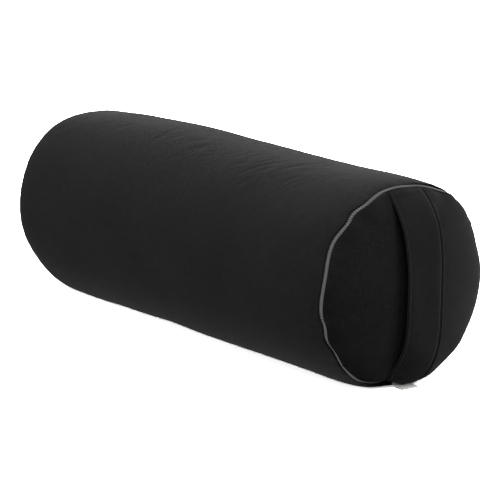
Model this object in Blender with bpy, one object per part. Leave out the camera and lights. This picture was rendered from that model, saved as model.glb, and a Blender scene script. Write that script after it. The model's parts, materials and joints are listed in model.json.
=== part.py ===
"""Round yoga bolster, lying on its side with its handle end towards +X.

A firm filling in a cotton liner goes into an outer cover. The cover is a tube of fabric with two
domed end panels. The front panel carries the handle strap and opens like a flap on a long curved
zip. Units are metres, +Z is up, the bolster's length runs along X and it rests on z = 0.
"""

import math

import bmesh
import bpy
from mathutils import Matrix, Vector

MM = 0.001

# The cover
COVER_RADIUS = 115 * MM
SEAM_SPACING = 582 * MM  # from the zip's centre line to the back seam
BASE_SAG = 9 * MM  # how far the weight flattens the round underside
EDGE_RADIUS = 109.2 * MM  # the tube's radius where it is drawn in at a seam
EDGE_LENGTH = 34 * MM  # the stretch over which it is drawn in
END_HEIGHT = 109 * MM  # height of the round ends' centre, and of the zip's
DOME_RADIUS = 110.3 * MM
FRONT_DOME_DEPTH = 20.6 * MM
BACK_DOME_DEPTH = 22 * MM
DOME_POWER = 2.66  # 2 is an ellipse, and more is a fuller shoulder
DOME_ROOT = 2.08
BACK_EDGE_OUT = 0.5 * MM  # how far the back panel already stands out at its sewn edge
FABRIC = 1.4 * MM
GAP = 0.3 * MM  # left between pieces that touch
FRONT_PANEL_LIFT = 1.3 * MM  # the front panel's lowest point, just above the tag

# The zip
ZIP_HALF_GROOVE = 4.8 * MM
TAPE_INNER_RADIUS = 105.4 * MM
TAPE_THICKNESS = 0.6 * MM
TAPE_WIDTH = 12 * MM
TAPE_TURN = 8 * MM  # how far the end-side tape turns in behind its panel
COIL_WIDTH = 2.4 * MM
COIL_THICKNESS = 1.8 * MM
COIL_INSET = 0.5 * MM  # from the zip's centre line
ZIP_BODY_START, ZIP_BODY_END = math.radians(35), math.radians(325)
ZIP_FLAP_START, ZIP_FLAP_END = math.radians(42), math.radians(318)
SLIDER_ANGLE = math.radians(43.5)  # where the slider rests, with the zip closed
TACK_INSET = math.radians(0.8)  # from the end of the tape
TACK_SWEEP = math.radians(1.2)
TACK_THICKNESS = 1 * MM

# The slider and its pull
SLIDER_LENGTH = 11 * MM
SLIDER_WIDTH = 8.4 * MM
SLIDER_PLATE = 1 * MM
SLIDER_CLEARANCE = 0.4 * MM
SLIDER_POST_WIDTH = 0.5 * MM
SLIDER_POST_LENGTH = 3 * MM
BRIDGE_WIDTH = 1.6 * MM
BRIDGE_BAR = 0.9 * MM
BRIDGE_SPAN = 7.2 * MM
BRIDGE_ROOM = 2.3 * MM  # height under the bridge
PULL_OFFSET = 1.2 * MM  # the pull's hinge, back from the slider's middle
PULL_LENGTH = 26 * MM
PULL_WIDTH = 6.4 * MM
PULL_THICKNESS = 1.2 * MM
PULL_SLOT_WIDTH = 2.6 * MM
PULL_SLOT_LENGTH = 5 * MM
PULL_CORNER = 1.9 * MM
PULL_TILT = math.radians(3.5)  # its tip leans down towards the zip

# Where the front panel folds back: a vertical line through the zip's two ends
FOLD_Y = 84.7 * MM
FOLD_ROOM = 8 * MM

# The handle strap and the tag
STRAP_WIDTH = 48 * MM
STRAP_THICKNESS = 3 * MM
STRAP_EDGE = 0.5 * MM  # how much thicker each rolled edge is, on each face
STRAP_SELVEDGE = 0.75 * MM  # half the thickness at the very edge
STRAP_STAND = 41 * MM  # from the zip's centre line to the strap's middle
STRAP_END_X = 8 * MM
STRAP_END_RADIUS = 105.2 * MM
STRAP_POWER = 3.2
TAG_WIDTH = 24 * MM
TAG_START, TAG_END = 3.6 * MM, 25 * MM
TAG_BOTTOM, TAG_THICKNESS = 0.3 * MM, 0.7 * MM
TAG_TURN = math.radians(6)

# The inside
LINER = 1.0 * MM
LINER_ROOM = 0.6 * MM  # between the cover and the liner
LINER_ZIP_RADIUS = 103.4 * MM  # the liner passes under the zip's slider
LINER_STRAIGHT = 14 * MM  # how far back from the zip it stays at that radius
LINER_DOME_RADIUS = 97 * MM
LINER_DOME_DEPTH = 17 * MM
LINER_DOME_FLOOR = 4 * MM  # height of the lowest point of its ends
LINER_EDGE_OUT = 1 * MM  # how far its ends already stand out at their sewn edge
LINER_EDGE_DROP = 2 * MM  # from the liner's tube in to that edge
LINER_SETBACK = 8 * MM  # from the cover's end seams back to the liner's
BATTING_DENT = 2 * MM  # how far the filling stays behind the liner at its ends
PAD_EDGE_OUT = 2 * MM
CORE_RADIUS = 78 * MM
CORE_HEIGHT = COVER_RADIUS - BASE_SAG

# How finely the curves are divided
SEGMENTS = 48  # round a section, the flat stretch included
FLAT_POINTS = 4
LEAST_FLAT = 6 * MM  # the least half width of the flat stretch
EDGE_SECTIONS = 5  # along each drawn-in stretch of the tube
MIDDLE_SECTION = 60 * MM  # the one section between them, in front of the middle
PANEL_RINGS = 8
LINER_RINGS = 6
PAD_RINGS = 5
ZIP_STEPS = 72
TACK_STEPS = 2
CORNER_POINTS = 5
STRAP_ROWS, STRAP_COLUMNS = 28, 6
SHARP_ANGLE = math.radians(35)

FRONT = SEAM_SPACING / 2
BACK = -SEAM_SPACING / 2
FOLD = (FRONT, FOLD_Y, END_HEIGHT)  # a point on the fold line, where the flap's pieces have their origin
COIL_INNER_RADIUS = TAPE_INNER_RADIUS + TAPE_THICKNESS + GAP
COIL_OUTER_RADIUS = COIL_INNER_RADIUS + COIL_THICKNESS


def clear_scene():
    for obj in list(bpy.data.objects):
        bpy.data.objects.remove(obj, do_unlink=True)


def material(name, colour, roughness, metallic=0.0):
    """A Principled material; colour is linear red, green and blue."""
    made = bpy.data.materials.new(name)
    made.use_nodes = True
    shader = made.node_tree.nodes["Principled BSDF"]
    shader.inputs["Base Color"].default_value = (*colour, 1.0)
    shader.inputs["Roughness"].default_value = roughness
    shader.inputs["Metallic"].default_value = metallic
    return made


def add_object(name, mesh, finish, origin=(0, 0, 0)):
    """Links a mesh given in world places as an object whose origin is the given point."""
    mesh.transform(Matrix.Translation(-Vector(origin)))
    obj = bpy.data.objects.new(name, mesh)
    obj.location = origin
    mesh.materials.append(finish)
    bpy.context.scene.collection.objects.link(obj)
    return obj


def finish_mesh(name, bm):
    bmesh.ops.recalc_face_normals(bm, faces=bm.faces)
    mesh = bpy.data.meshes.new(name)
    bm.to_mesh(mesh)
    bm.free()
    mesh.shade_smooth()
    mesh.set_sharp_from_angle(angle=SHARP_ANGLE)
    return mesh


def spaced(start, end, count):
    return [start + (end - start) * step / (count - 1) for step in range(count)]


def ring_points(x, radius, height, floor):
    """A round section of the bolster, with a flat stretch where it meets the floor."""
    half_flat = math.sqrt(max(LEAST_FLAT**2, radius**2 - (height - floor) ** 2))
    half_arc = math.pi - math.asin(half_flat / radius)
    flat_z = height - math.sqrt(radius**2 - half_flat**2)
    points = []
    for angle in spaced(-half_arc, half_arc, SEGMENTS - FLAT_POINTS):
        points.append((x, -radius * math.sin(angle), height + radius * math.cos(angle)))
    for y in spaced(-half_flat, half_flat, FLAT_POINTS + 2)[1:-1]:
        points.append((x, y, flat_z))
    return points


def skin(name, stations, closed):
    """Joins round sections (x, radius, height, floor) in order. A radius of 0 is a pole.

    Each four-sided patch is split along the same diagonal, from the corner nearer the back, so
    that layers lying inside each other keep their gap.
    """
    bm = bmesh.new()
    rings = []
    for x, radius, height, floor in stations:
        if radius == 0:
            rings.append([bm.verts.new((x, 0, height))])
        else:
            rings.append([bm.verts.new(p) for p in ring_points(x, radius, height, floor)])
    pairs = list(zip(rings, rings[1:]))
    if closed:
        pairs.append((rings[-1], rings[0]))
    for first, second in pairs:
        if len(first) == 1 and len(second) == 1:
            continue
        if first[0].co.x > second[0].co.x:
            first, second = second, first
        for step in range(SEGMENTS):
            near, near_next = first[step % len(first)], first[(step + 1) % len(first)]
            far, far_next = second[step % len(second)], second[(step + 1) % len(second)]
            for corners in ((near, near_next, far_next), (near, far_next, far)):
                if len(set(corners)) == 3:
                    bm.faces.new(corners)
    return finish_mesh(name, bm)


def tube_section(x):
    """The cover's radius and centre height at x along its tube."""
    share = min(1.0, (FRONT - abs(x)) / EDGE_LENGTH)
    swell = math.sin(share * math.pi / 2)
    radius = EDGE_RADIUS + (COVER_RADIUS - EDGE_RADIUS) * swell
    height = END_HEIGHT + (COVER_RADIUS - BASE_SAG - END_HEIGHT) * swell
    return radius, height


def tube_stations(xs, inset):
    stations = []
    for x in xs:
        radius, height = tube_section(x)
        stations.append((x, radius - inset, height, inset))
    return stations


def dome_depth(radius, rim, depth):
    """How far a domed end stands out at this radius."""
    share = max(0.0, 1 - (radius / rim) ** DOME_POWER)
    return depth * share ** (1 / DOME_ROOT)


def dome_radius(out, rim, depth):
    """The radius at which a domed end stands out by this much."""
    return rim * (1 - (out / depth) ** DOME_ROOT) ** (1 / DOME_POWER)


def dome_stations(seam, side, rim, depth, first_radius, floor, steps):
    """From the first radius in to the pole. Side is 1 at the front and -1 at the back."""
    stations = []
    for step in range(steps):
        radius = first_radius * math.cos(step / steps * math.pi / 2)
        out = dome_depth(radius, rim, depth)
        stations.append((seam + side * out, radius, END_HEIGHT, floor))
    stations.append((seam + side * depth, 0, END_HEIGHT, floor))
    return stations


def tube_xs(front, back):
    """Places along the tube, closer together where it is drawn in."""
    back_stretch = spaced(back, BACK + EDGE_LENGTH, EDGE_SECTIONS)
    front_stretch = spaced(FRONT - EDGE_LENGTH, front, EDGE_SECTIONS)
    return back_stretch + [MIDDLE_SECTION] + front_stretch


def domed_panel(seam, side, depth, edge_out, floor):
    """A fabric dome: its outer face, then its inner face back to the rim."""
    outer_edge = dome_radius(edge_out, DOME_RADIUS, depth)
    outer = dome_stations(seam, side, DOME_RADIUS, depth, outer_edge, floor, PANEL_RINGS)
    inner_edge = outer_edge - FABRIC
    inner_depth = depth - FABRIC
    inner_rim = inner_edge / dome_radius(edge_out, 1, inner_depth)
    inner_floor = floor + FABRIC
    inner = dome_stations(seam, side, inner_rim, inner_depth, inner_edge, inner_floor, PANEL_RINGS)
    return outer + inner[::-1]


def block_mesh(name, low, high):
    """A box between two opposite corners."""
    bm = bmesh.new()
    bmesh.ops.create_cube(bm, size=1)
    middle = (Vector(low) + Vector(high)) / 2
    size = Vector(high) - Vector(low)
    for vert in bm.verts:
        vert.co = middle + Vector((vert.co.x * size.x, vert.co.y * size.y, vert.co.z * size.z))
    return finish_mesh(name, bm)


def cut_box(name, low, high):
    """A hidden block that a Boolean cuts with."""
    obj = bpy.data.objects.new(name, block_mesh(name, low, high))
    obj.hide_render = True
    obj.display_type = "WIRE"
    bpy.context.scene.collection.objects.link(obj)
    return obj


def add_boolean(obj, other, operation):
    modifier = obj.modifiers.new(operation.title(), "BOOLEAN")
    modifier.object = other
    modifier.operation = operation
    modifier.solver = "EXACT"


def loft(name, outlines):
    """Joins closed outlines with the same number of points in order, and caps both ends."""
    bm = bmesh.new()
    rows = [[bm.verts.new(point) for point in outline] for outline in outlines]
    count = len(rows[0])
    for first, second in zip(rows, rows[1:]):
        for step in range(count):
            after = (step + 1) % count
            bm.faces.new((first[step], first[after], second[after], second[step]))
    bm.faces.new(rows[0])
    bm.faces.new(rows[-1])
    return finish_mesh(name, bm)


def swept_band(name, profile, start, end, steps=ZIP_STEPS):
    """Turns a closed profile of (x, radius) points about the zip's axis."""
    outlines = []
    for angle in spaced(start, end, steps + 1):
        outline = []
        for x, radius in profile:
            y = radius * math.cos(angle)
            z = END_HEIGHT + radius * math.sin(angle)
            outline.append((FRONT + x, y, z))
        outlines.append(outline)
    return loft(name, outlines)


def slider_frame(angle):
    """Local axes at a place on the zip: travel, across and outwards, from the zip's own axis."""
    travel = Vector((0, -math.sin(angle), math.cos(angle)))
    across = Vector((1, 0, 0))
    outwards = Vector((0, math.cos(angle), math.sin(angle)))
    frame = Matrix((travel, across, outwards)).transposed().to_4x4()
    return Matrix.Translation((FRONT, 0, END_HEIGHT)) @ frame


def joined(name, meshes, operation="UNION"):
    """One mesh from several, by Boolean."""
    objects = []
    for number, mesh in enumerate(meshes):
        obj = bpy.data.objects.new(f"{name}_{number}", mesh)
        bpy.context.scene.collection.objects.link(obj)
        objects.append(obj)
    base = objects[0]
    for other in objects[1:]:
        add_boolean(base, other, operation)
    graph = bpy.context.evaluated_depsgraph_get()
    result = bpy.data.meshes.new_from_object(base.evaluated_get(graph))
    for obj in objects:
        bpy.data.objects.remove(obj, do_unlink=True)
    result.name = name
    result.shade_smooth()
    result.set_sharp_from_angle(angle=SHARP_ANGLE)
    return result


def make_cover(cloth):
    """The tube of cloth, and the back end panel that is sewn to it all round."""
    tube_front = FRONT - ZIP_HALF_GROOVE
    tube_back = BACK + GAP
    xs = tube_xs(tube_front, tube_back)
    outer = tube_stations(xs, 0)
    inner = tube_stations(xs, FABRIC)
    add_object("cover_body_panel", skin("cover_body_panel", outer + inner[::-1], True), cloth)
    back = domed_panel(BACK - GAP, -1, BACK_DOME_DEPTH, BACK_EDGE_OUT, 0.0)
    add_object("cover_back_end_panel", skin("cover_back_end_panel", back, True), cloth)


def make_front_panel(cloth):
    """The flap, and the strip beyond the fold that stays sewn to the tube."""
    stations = domed_panel(FRONT, 1, FRONT_DOME_DEPTH, ZIP_HALF_GROOVE, FRONT_PANEL_LIFT)
    far = 2 * COVER_RADIUS
    flap = add_object("front_end_panel", skin("front_end_panel", stations, True), cloth, FOLD)
    cutter = cut_box("fold_cutter", (0, FOLD_Y - FOLD_ROOM, -far), (2 * FRONT, far, 2 * far))
    add_boolean(flap, cutter, "DIFFERENCE")
    side = skin("front_end_panel_sewn_side", stations, True)
    sewn_side = add_object("front_end_panel_sewn_side", side, cloth)
    cutter = cut_box("sewn_side_cutter", (0, -far, -far), (2 * FRONT, FOLD_Y, 2 * far))
    add_boolean(sewn_side, cutter, "DIFFERENCE")


def make_zip_chain(tape, nylon):
    """Each half has a tape and, on it, the band that its row of coils fills."""
    low, high = TAPE_INNER_RADIUS, TAPE_INNER_RADIUS + TAPE_THICKNESS
    body_tape = [
        (-COIL_INSET, low),
        (-COIL_INSET, high),
        (-COIL_INSET - TAPE_WIDTH, high),
        (-COIL_INSET - TAPE_WIDTH, low),
    ]
    mesh = swept_band("zip_tape_body_side", body_tape, ZIP_BODY_START, ZIP_BODY_END)
    add_object("zip_tape_body_side", mesh, tape)
    turn = ZIP_HALF_GROOVE + SLIDER_CLEARANCE
    end_tape = [
        (COIL_INSET, low),
        (COIL_INSET, high),
        (turn, high),
        (turn, high - TAPE_TURN),
        (turn - TAPE_THICKNESS, high - TAPE_TURN),
        (turn - TAPE_THICKNESS, low),
    ]
    mesh = swept_band("zip_tape_end_side", end_tape, ZIP_FLAP_START, ZIP_FLAP_END)
    add_object("zip_tape_end_side", mesh, tape, FOLD)
    chamfer = COIL_THICKNESS / 4
    coil = [
        (COIL_INSET, COIL_INNER_RADIUS),
        (COIL_INSET, COIL_OUTER_RADIUS),
        (COIL_INSET + COIL_WIDTH - chamfer, COIL_OUTER_RADIUS),
        (COIL_INSET + COIL_WIDTH, COIL_OUTER_RADIUS - chamfer),
        (COIL_INSET + COIL_WIDTH, COIL_INNER_RADIUS),
    ]
    mesh = swept_band("zip_coil_end_side", coil, ZIP_FLAP_START, ZIP_FLAP_END)
    add_object("zip_coil_end_side", mesh, nylon, FOLD)
    mirrored = [(-x, radius) for x, radius in coil]
    mesh = swept_band("zip_coil_body_side", mirrored, ZIP_BODY_START, ZIP_BODY_END)
    add_object("zip_coil_body_side", mesh, nylon)


def make_zip_end_tacks(thread):
    """A bar of stitches over the chain at each end of the zip."""
    half_width = COIL_INSET + COIL_WIDTH + SLIDER_CLEARANCE
    low = COIL_OUTER_RADIUS + GAP
    high = low + TACK_THICKNESS
    profile = [(-half_width, low), (-half_width, high), (half_width, high), (half_width, low)]
    places = {
        "zip_end_tack_upper": ZIP_BODY_START + TACK_INSET,
        "zip_end_tack_lower": ZIP_BODY_END - TACK_INSET - TACK_SWEEP,
    }
    for name, start in places.items():
        mesh = swept_band(name, profile, start, start + TACK_SWEEP, TACK_STEPS)
        add_object(name, mesh, thread)


def make_slider(metal):
    """Two plates joined by a thin post between the coils, with a bridge for the pull."""
    half_length, half_width = SLIDER_LENGTH / 2, SLIDER_WIDTH / 2
    top = COIL_OUTER_RADIUS + SLIDER_CLEARANCE
    bottom = TAPE_INNER_RADIUS - SLIDER_CLEARANCE
    plate = block_mesh(
        "plate", (-half_length, -half_width, top), (half_length, half_width, top + SLIDER_PLATE)
    )
    under = block_mesh(
        "under", (-half_length, -half_width, bottom - SLIDER_PLATE), (half_length, half_width, bottom)
    )
    post = block_mesh(
        "post",
        (half_length - SLIDER_POST_LENGTH, -SLIDER_POST_WIDTH / 2, bottom - SLIDER_PLATE / 2),
        (half_length - SLIDER_PLATE / 2, SLIDER_POST_WIDTH / 2, top + SLIDER_PLATE / 2),
    )
    foot = top + SLIDER_PLATE / 2
    ceiling = top + SLIDER_PLATE + BRIDGE_ROOM
    outer = BRIDGE_SPAN / 2
    inner = outer - BRIDGE_BAR
    side = BRIDGE_WIDTH / 2
    outline = [
        (-outer, foot),
        (-outer, ceiling),
        (-inner, ceiling + BRIDGE_BAR),
        (inner, ceiling + BRIDGE_BAR),
        (outer, ceiling),
        (outer, foot),
        (inner, foot),
        (inner, ceiling),
        (-inner, ceiling),
        (-inner, foot),
    ]
    bridge = loft("bridge", [[(t, across, out) for t, out in outline] for across in (-side, side)])
    mesh = joined("zip_slider_body", [plate, under, post, bridge])
    mesh.transform(slider_frame(SLIDER_ANGLE))
    add_object("zip_slider_body", mesh, metal, (FRONT, 0, END_HEIGHT))


def pull_pivot():
    """The pull's hinge line: its distance from the zip's axis, and its world place."""
    outwards = COIL_OUTER_RADIUS + SLIDER_CLEARANCE + SLIDER_PLATE + BRIDGE_ROOM / 2
    return outwards, slider_frame(SLIDER_ANGLE) @ Vector((-PULL_OFFSET, 0, outwards))


def make_pull(metal):
    """A tab with a slot: the bar at the slot's end lies under the slider's bridge."""
    outwards, pivot = pull_pivot()
    half, bar = PULL_WIDTH / 2, PULL_THICKNESS / 2
    right_side = [(bar, half)]
    for angle in spaced(0, math.pi / 2, CORNER_POINTS):
        travel = -PULL_LENGTH + PULL_CORNER * (1 - math.sin(angle))
        right_side.append((travel, half - PULL_CORNER * (1 - math.cos(angle))))
    outline = right_side + [(travel, -across) for travel, across in reversed(right_side)]
    tab = loft("tab", [[(t, across, out) for t, across in outline] for out in (-bar, bar)])
    slot = block_mesh(
        "slot",
        (-bar - PULL_SLOT_LENGTH, -PULL_SLOT_WIDTH / 2, -PULL_THICKNESS),
        (-bar, PULL_SLOT_WIDTH / 2, PULL_THICKNESS),
    )
    mesh = joined("zip_pull_tab", [tab, slot], "DIFFERENCE")
    tilt = Matrix.Rotation(-PULL_TILT, 4, "Y")
    place = Matrix.Translation((-PULL_OFFSET, 0, outwards))
    mesh.transform(slider_frame(SLIDER_ANGLE) @ place @ tilt)
    add_object("zip_pull_tab", mesh, metal, pivot)


def strap_x(y, z):
    """How far the strap's middle layer stands from the zip's centre line. Z is from the end's centre."""
    half_span = math.sqrt(STRAP_END_RADIUS**2 - y**2)
    share = min(1.0, abs(z) / half_span)
    bow = STRAP_END_X + (STRAP_STAND - STRAP_END_X) * (1 - share**STRAP_POWER)
    dome = dome_depth(math.hypot(y, z), DOME_RADIUS, FRONT_DOME_DEPTH)
    return max(bow, dome + GAP + STRAP_THICKNESS / 2 + STRAP_EDGE)


def strap_point(y, share):
    """A point of the strap's middle layer, and its outward direction. Share runs from -1 to 1."""
    half_span = math.sqrt(STRAP_END_RADIUS**2 - y**2)
    z = half_span * math.sin(share * math.pi / 2)
    step = 0.5 * MM
    slope = (strap_x(y, z + step) - strap_x(y, z - step)) / (2 * step)
    outwards = Vector((1, 0, -slope)).normalized()
    return Vector((strap_x(y, z), y, z)), outwards


def make_strap(cloth):
    """A flat band of folded cloth, bowed outwards, with its two long edges rolled."""
    outlines = []
    for share in spaced(-1, 1, STRAP_ROWS + 1):
        front_line, back_line = [], []
        for column in range(STRAP_COLUMNS + 1):
            y = STRAP_WIDTH * (column / STRAP_COLUMNS - 0.5)
            point, outwards = strap_point(y, share)
            half = STRAP_THICKNESS / 2
            if column in (1, STRAP_COLUMNS - 1):
                half += STRAP_EDGE
            elif column in (0, STRAP_COLUMNS):
                half = STRAP_SELVEDGE
            base = Vector((FRONT, 0, END_HEIGHT)) + point
            front_line.append(base + outwards * half)
            back_line.append(base - outwards * half)
        outlines.append(front_line + back_line[::-1])
    add_object("handle_strap", loft("handle_strap", outlines), cloth)


def make_tag(ribbon):
    """A folded ribbon tag, sewn in at the bottom of the front seam and lying on the floor."""
    mesh = block_mesh(
        "sewn_tag",
        (TAG_START, -TAG_WIDTH / 2, TAG_BOTTOM),
        (TAG_END, TAG_WIDTH / 2, TAG_BOTTOM + TAG_THICKNESS),
    )
    mesh.transform(Matrix.Translation((FRONT, 0, 0)) @ Matrix.Rotation(TAG_TURN, 4, "Z"))
    add_object("sewn_tag", mesh, ribbon, FOLD)


def liner_tube(inset, front, back):
    """Sections inside the cover, kept under the zip at the front."""
    stations = []
    for x in tube_xs(front, back):
        radius, height = tube_section(x)
        share = (FRONT - x - LINER_STRAIGHT) / (EDGE_LENGTH - LINER_STRAIGHT)
        share = min(1.0, max(0.0, share))
        radius = LINER_ZIP_RADIUS + (radius - FABRIC - LINER_ROOM - LINER_ZIP_RADIUS) * share
        stations.append((x, radius - inset, height, FABRIC + LINER_ROOM + inset))
    return stations


def liner_dome(seam, side, inset, edge_out, rings):
    """An end of the liner, or of what lies inset behind it."""
    rim = LINER_DOME_RADIUS - inset
    depth = LINER_DOME_DEPTH - inset
    first = dome_radius(edge_out, rim, depth)
    return dome_stations(seam, side, rim, depth, first, LINER_DOME_FLOOR + inset, rings)


def make_liner(cotton):
    """A closed bag inside the cover: a tube and two domed ends."""
    front, back = FRONT - LINER_SETBACK, BACK + LINER_SETBACK
    tube = liner_tube(0, front, back) + liner_tube(LINER, front, back)[::-1]
    add_object("liner_tube_panel", skin("liner_tube_panel", tube, True), cotton)
    for name, seam, side, edge in (
        ("liner_front_panel", FRONT, 1, front + GAP),
        ("liner_back_panel", BACK, -1, back - GAP),
    ):
        outer = liner_dome(seam, side, 0, LINER_EDGE_OUT, LINER_RINGS)
        inner = liner_dome(seam, side, LINER, LINER_EDGE_OUT + LINER / 2, PAD_RINGS)
        radius = LINER_ZIP_RADIUS - LINER_EDGE_DROP
        outer_edge = (edge, radius, END_HEIGHT, LINER_DOME_FLOOR)
        inner_edge = (edge, radius - LINER, END_HEIGHT, LINER_DOME_FLOOR + LINER)
        stations = [outer_edge] + outer + inner[::-1] + [inner_edge]
        add_object(name, skin(name, stations, True), cotton)


def make_filling(foam, batting):
    """A firm foam core, the batting rolled round it, and a batting pad behind each end."""
    front, back = FRONT - LINER_SETBACK, BACK + LINER_SETBACK
    outer = liner_tube(LINER + GAP, front, back)
    inner = [(x, CORE_RADIUS + GAP, CORE_HEIGHT, 0.0) for x in (front, back)]
    add_object("batting_wrap", skin("batting_wrap", outer + inner, True), batting)
    core = [
        (back, 0, CORE_HEIGHT, 0.0),
        (back, CORE_RADIUS, CORE_HEIGHT, 0.0),
        (front, CORE_RADIUS, CORE_HEIGHT, 0.0),
        (front, 0, CORE_HEIGHT, 0.0),
    ]
    add_object("foam_core", skin("foam_core", core, False), foam)
    for name, seam, side, flat in (
        ("front_batting_pad", FRONT, 1, front + GAP),
        ("back_batting_pad", BACK, -1, back - GAP),
    ):
        dome = liner_dome(seam, side, LINER + BATTING_DENT, PAD_EDGE_OUT, PAD_RINGS)
        pad = [(flat, 0, END_HEIGHT, 0.0), (flat, dome[0][1], END_HEIGHT, dome[0][3])] + dome
        add_object(name, skin(name, pad, False), batting)


def main():
    clear_scene()
    cloth = material("black_canvas", (0.020, 0.019, 0.019), 0.9)
    tape = material("black_zip_tape", (0.012, 0.012, 0.012), 0.85)
    nylon = material("grey_nylon_coil", (0.10, 0.10, 0.105), 0.45)
    thread = material("black_thread", (0.015, 0.015, 0.015), 0.7)
    metal = material("dark_zinc", (0.10, 0.10, 0.10), 0.35, 1.0)
    ribbon = material("pale_ribbon", (0.65, 0.65, 0.64), 0.6)
    cotton = material("natural_cotton", (0.62, 0.56, 0.46), 0.9)
    foam = material("pale_foam", (0.70, 0.66, 0.50), 0.95)
    batting = material("white_batting", (0.78, 0.77, 0.73), 0.95)
    make_cover(cloth)
    make_front_panel(cloth)
    make_zip_chain(tape, nylon)
    make_zip_end_tacks(thread)
    make_slider(metal)
    make_pull(metal)
    make_strap(cloth)
    make_tag(ribbon)
    make_liner(cotton)
    make_filling(foam, batting)


main()
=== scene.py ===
"""Looks of a round yoga bolster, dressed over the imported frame.

The bolster lies on its side with its zip and carrying strap towards +X. Units are metres and +Z is
up. Angles round the bolster run from +Y towards +Z, as seen from its strap end.
"""

from __future__ import annotations

import json
import logging
import math
from dataclasses import dataclass, field
from enum import Enum

import bmesh
import bpy
import numpy as np
from mathutils import Matrix, Vector, noise

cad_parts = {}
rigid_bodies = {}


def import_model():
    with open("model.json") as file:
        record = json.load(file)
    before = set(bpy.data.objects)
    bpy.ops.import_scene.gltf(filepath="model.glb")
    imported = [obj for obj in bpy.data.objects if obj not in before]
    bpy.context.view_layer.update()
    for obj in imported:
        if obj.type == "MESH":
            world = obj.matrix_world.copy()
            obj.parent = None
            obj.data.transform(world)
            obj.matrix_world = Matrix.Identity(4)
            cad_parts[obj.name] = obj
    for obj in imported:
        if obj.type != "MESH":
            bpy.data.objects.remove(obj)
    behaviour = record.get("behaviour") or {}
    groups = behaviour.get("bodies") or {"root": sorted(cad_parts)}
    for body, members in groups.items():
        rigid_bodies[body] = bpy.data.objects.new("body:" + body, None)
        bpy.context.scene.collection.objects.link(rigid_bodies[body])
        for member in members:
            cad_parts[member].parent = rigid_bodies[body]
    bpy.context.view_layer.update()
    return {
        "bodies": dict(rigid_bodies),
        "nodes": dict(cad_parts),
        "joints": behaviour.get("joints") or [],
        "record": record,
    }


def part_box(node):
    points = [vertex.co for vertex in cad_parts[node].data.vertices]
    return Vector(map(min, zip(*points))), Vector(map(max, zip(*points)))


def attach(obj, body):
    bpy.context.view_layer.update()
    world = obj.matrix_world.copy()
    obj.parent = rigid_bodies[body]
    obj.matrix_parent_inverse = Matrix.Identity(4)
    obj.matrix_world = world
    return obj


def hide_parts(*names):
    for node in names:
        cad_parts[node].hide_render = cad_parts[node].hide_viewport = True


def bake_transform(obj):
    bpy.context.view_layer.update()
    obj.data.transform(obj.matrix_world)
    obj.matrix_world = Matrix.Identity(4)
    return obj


LOG = logging.getLogger("bolster")
MM = 0.001
TURN = 2 * math.pi
CUT_MAP = "cut"  # the UV map: each point's place on the flat cloth, in metres
FULL_DOME = (2.66, 2.08)  # power and root of a firmly filled end

Array = np.ndarray
Material = bpy.types.Material
MeshData = bpy.types.Mesh
NodeTree = bpy.types.NodeTree
Object = bpy.types.Object
Socket = bpy.types.NodeSocket


class ZipHalf(Enum):
    """The two halves of the zip, by what they are sewn to."""

    BODY = "body_side"
    FLAP = "end_side"


class SeamEdge(Enum):
    """What meets at the zip's seam."""

    BODY = "the tube's cloth"
    PANEL = "the end panel's cloth"
    COIL = "the zip between them"


class StrapHalf(Enum):
    """The two halves of the strap, by the side of its middle that they lie on."""

    LOWER = -1
    UPPER = 1


def hex_linear(code: str) -> tuple[float, float, float, float]:
    """Turns an sRGB hex colour into the linear colour that a shader takes.

    Args:
        code: six hex digits after a hash sign.

    Returns:
        Linear red, green and blue, and an alpha of 1.
    """
    shares = [int(code[at:at + 2], 16) / 255 for at in (1, 3, 5)]
    linear = [s / 12.92 if s <= 0.04045 else ((s + 0.055) / 1.055) ** 2.4 for s in shares]
    return (*linear, 1.0)


def add_node(
    tree: NodeTree,
    kind: str,
    settings: dict[str, object] | None = None,
    inputs: dict[str | int, object] | None = None,
) -> bpy.types.Node:
    """Adds one node to a tree.

    Args:
        tree: the shader or geometry tree.
        kind: the node's type.
        settings: the node's own options, by name.
        inputs: a value or another node's output for each input, by name or number.

    Returns:
        The new node.
    """
    node = tree.nodes.new(kind)
    for name, value in (settings or {}).items():
        setattr(node, name, value)
    for key, value in (inputs or {}).items():
        if isinstance(value, Socket):
            tree.links.new(value, node.inputs[key])
        else:
            node.inputs[key].default_value = value
    return node


def new_surface(name: str) -> tuple[Material, NodeTree]:
    """Makes a plain material and gives it with its shader tree."""
    made = bpy.data.materials.new(name)
    made.use_nodes = True
    return made, made.node_tree


def smooth_share(value: Array | float, low: float, high: float) -> Array:
    """Rises smoothly from 0 at low to 1 at high."""
    share = np.clip((np.asarray(value, float) - low) / (high - low), 0.0, 1.0)
    return share * share * (3 - 2 * share)


def soft_noise(*coordinates: Array, seed: float = 0.0) -> Array:
    """Perlin noise over two or three arrays of coordinates.

    Args:
        coordinates: arrays of one shape, in units of the noise's own grain.
        seed: shifts the pattern.

    Returns:
        Values between about -1 and 1, in the shape of the coordinates.
    """
    shape = np.shape(coordinates[0])
    flat = [np.ravel(c) for c in coordinates]
    if len(flat) == 2:
        flat.append(np.zeros_like(flat[0]))
    values = [noise.noise(Vector((x + seed, y, z))) for x, y, z in zip(*flat)]
    return np.array(values).reshape(shape)


def unit(vectors: Array) -> Array:
    """The vectors' directions, each of length 1."""
    return vectors / np.maximum(np.linalg.norm(vectors, axis=-1, keepdims=True), 1e-12)


def signed_power(value: Array, power: float) -> Array:
    """A power that keeps the sign. A power below 1 squares a circle's sine and cosine off."""
    return np.sign(value) * np.abs(value) ** power


def full_turn(steps: int) -> Array:
    """Evenly spaced angles round a circle."""
    return np.linspace(0, TURN, steps, endpoint=False)


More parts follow.
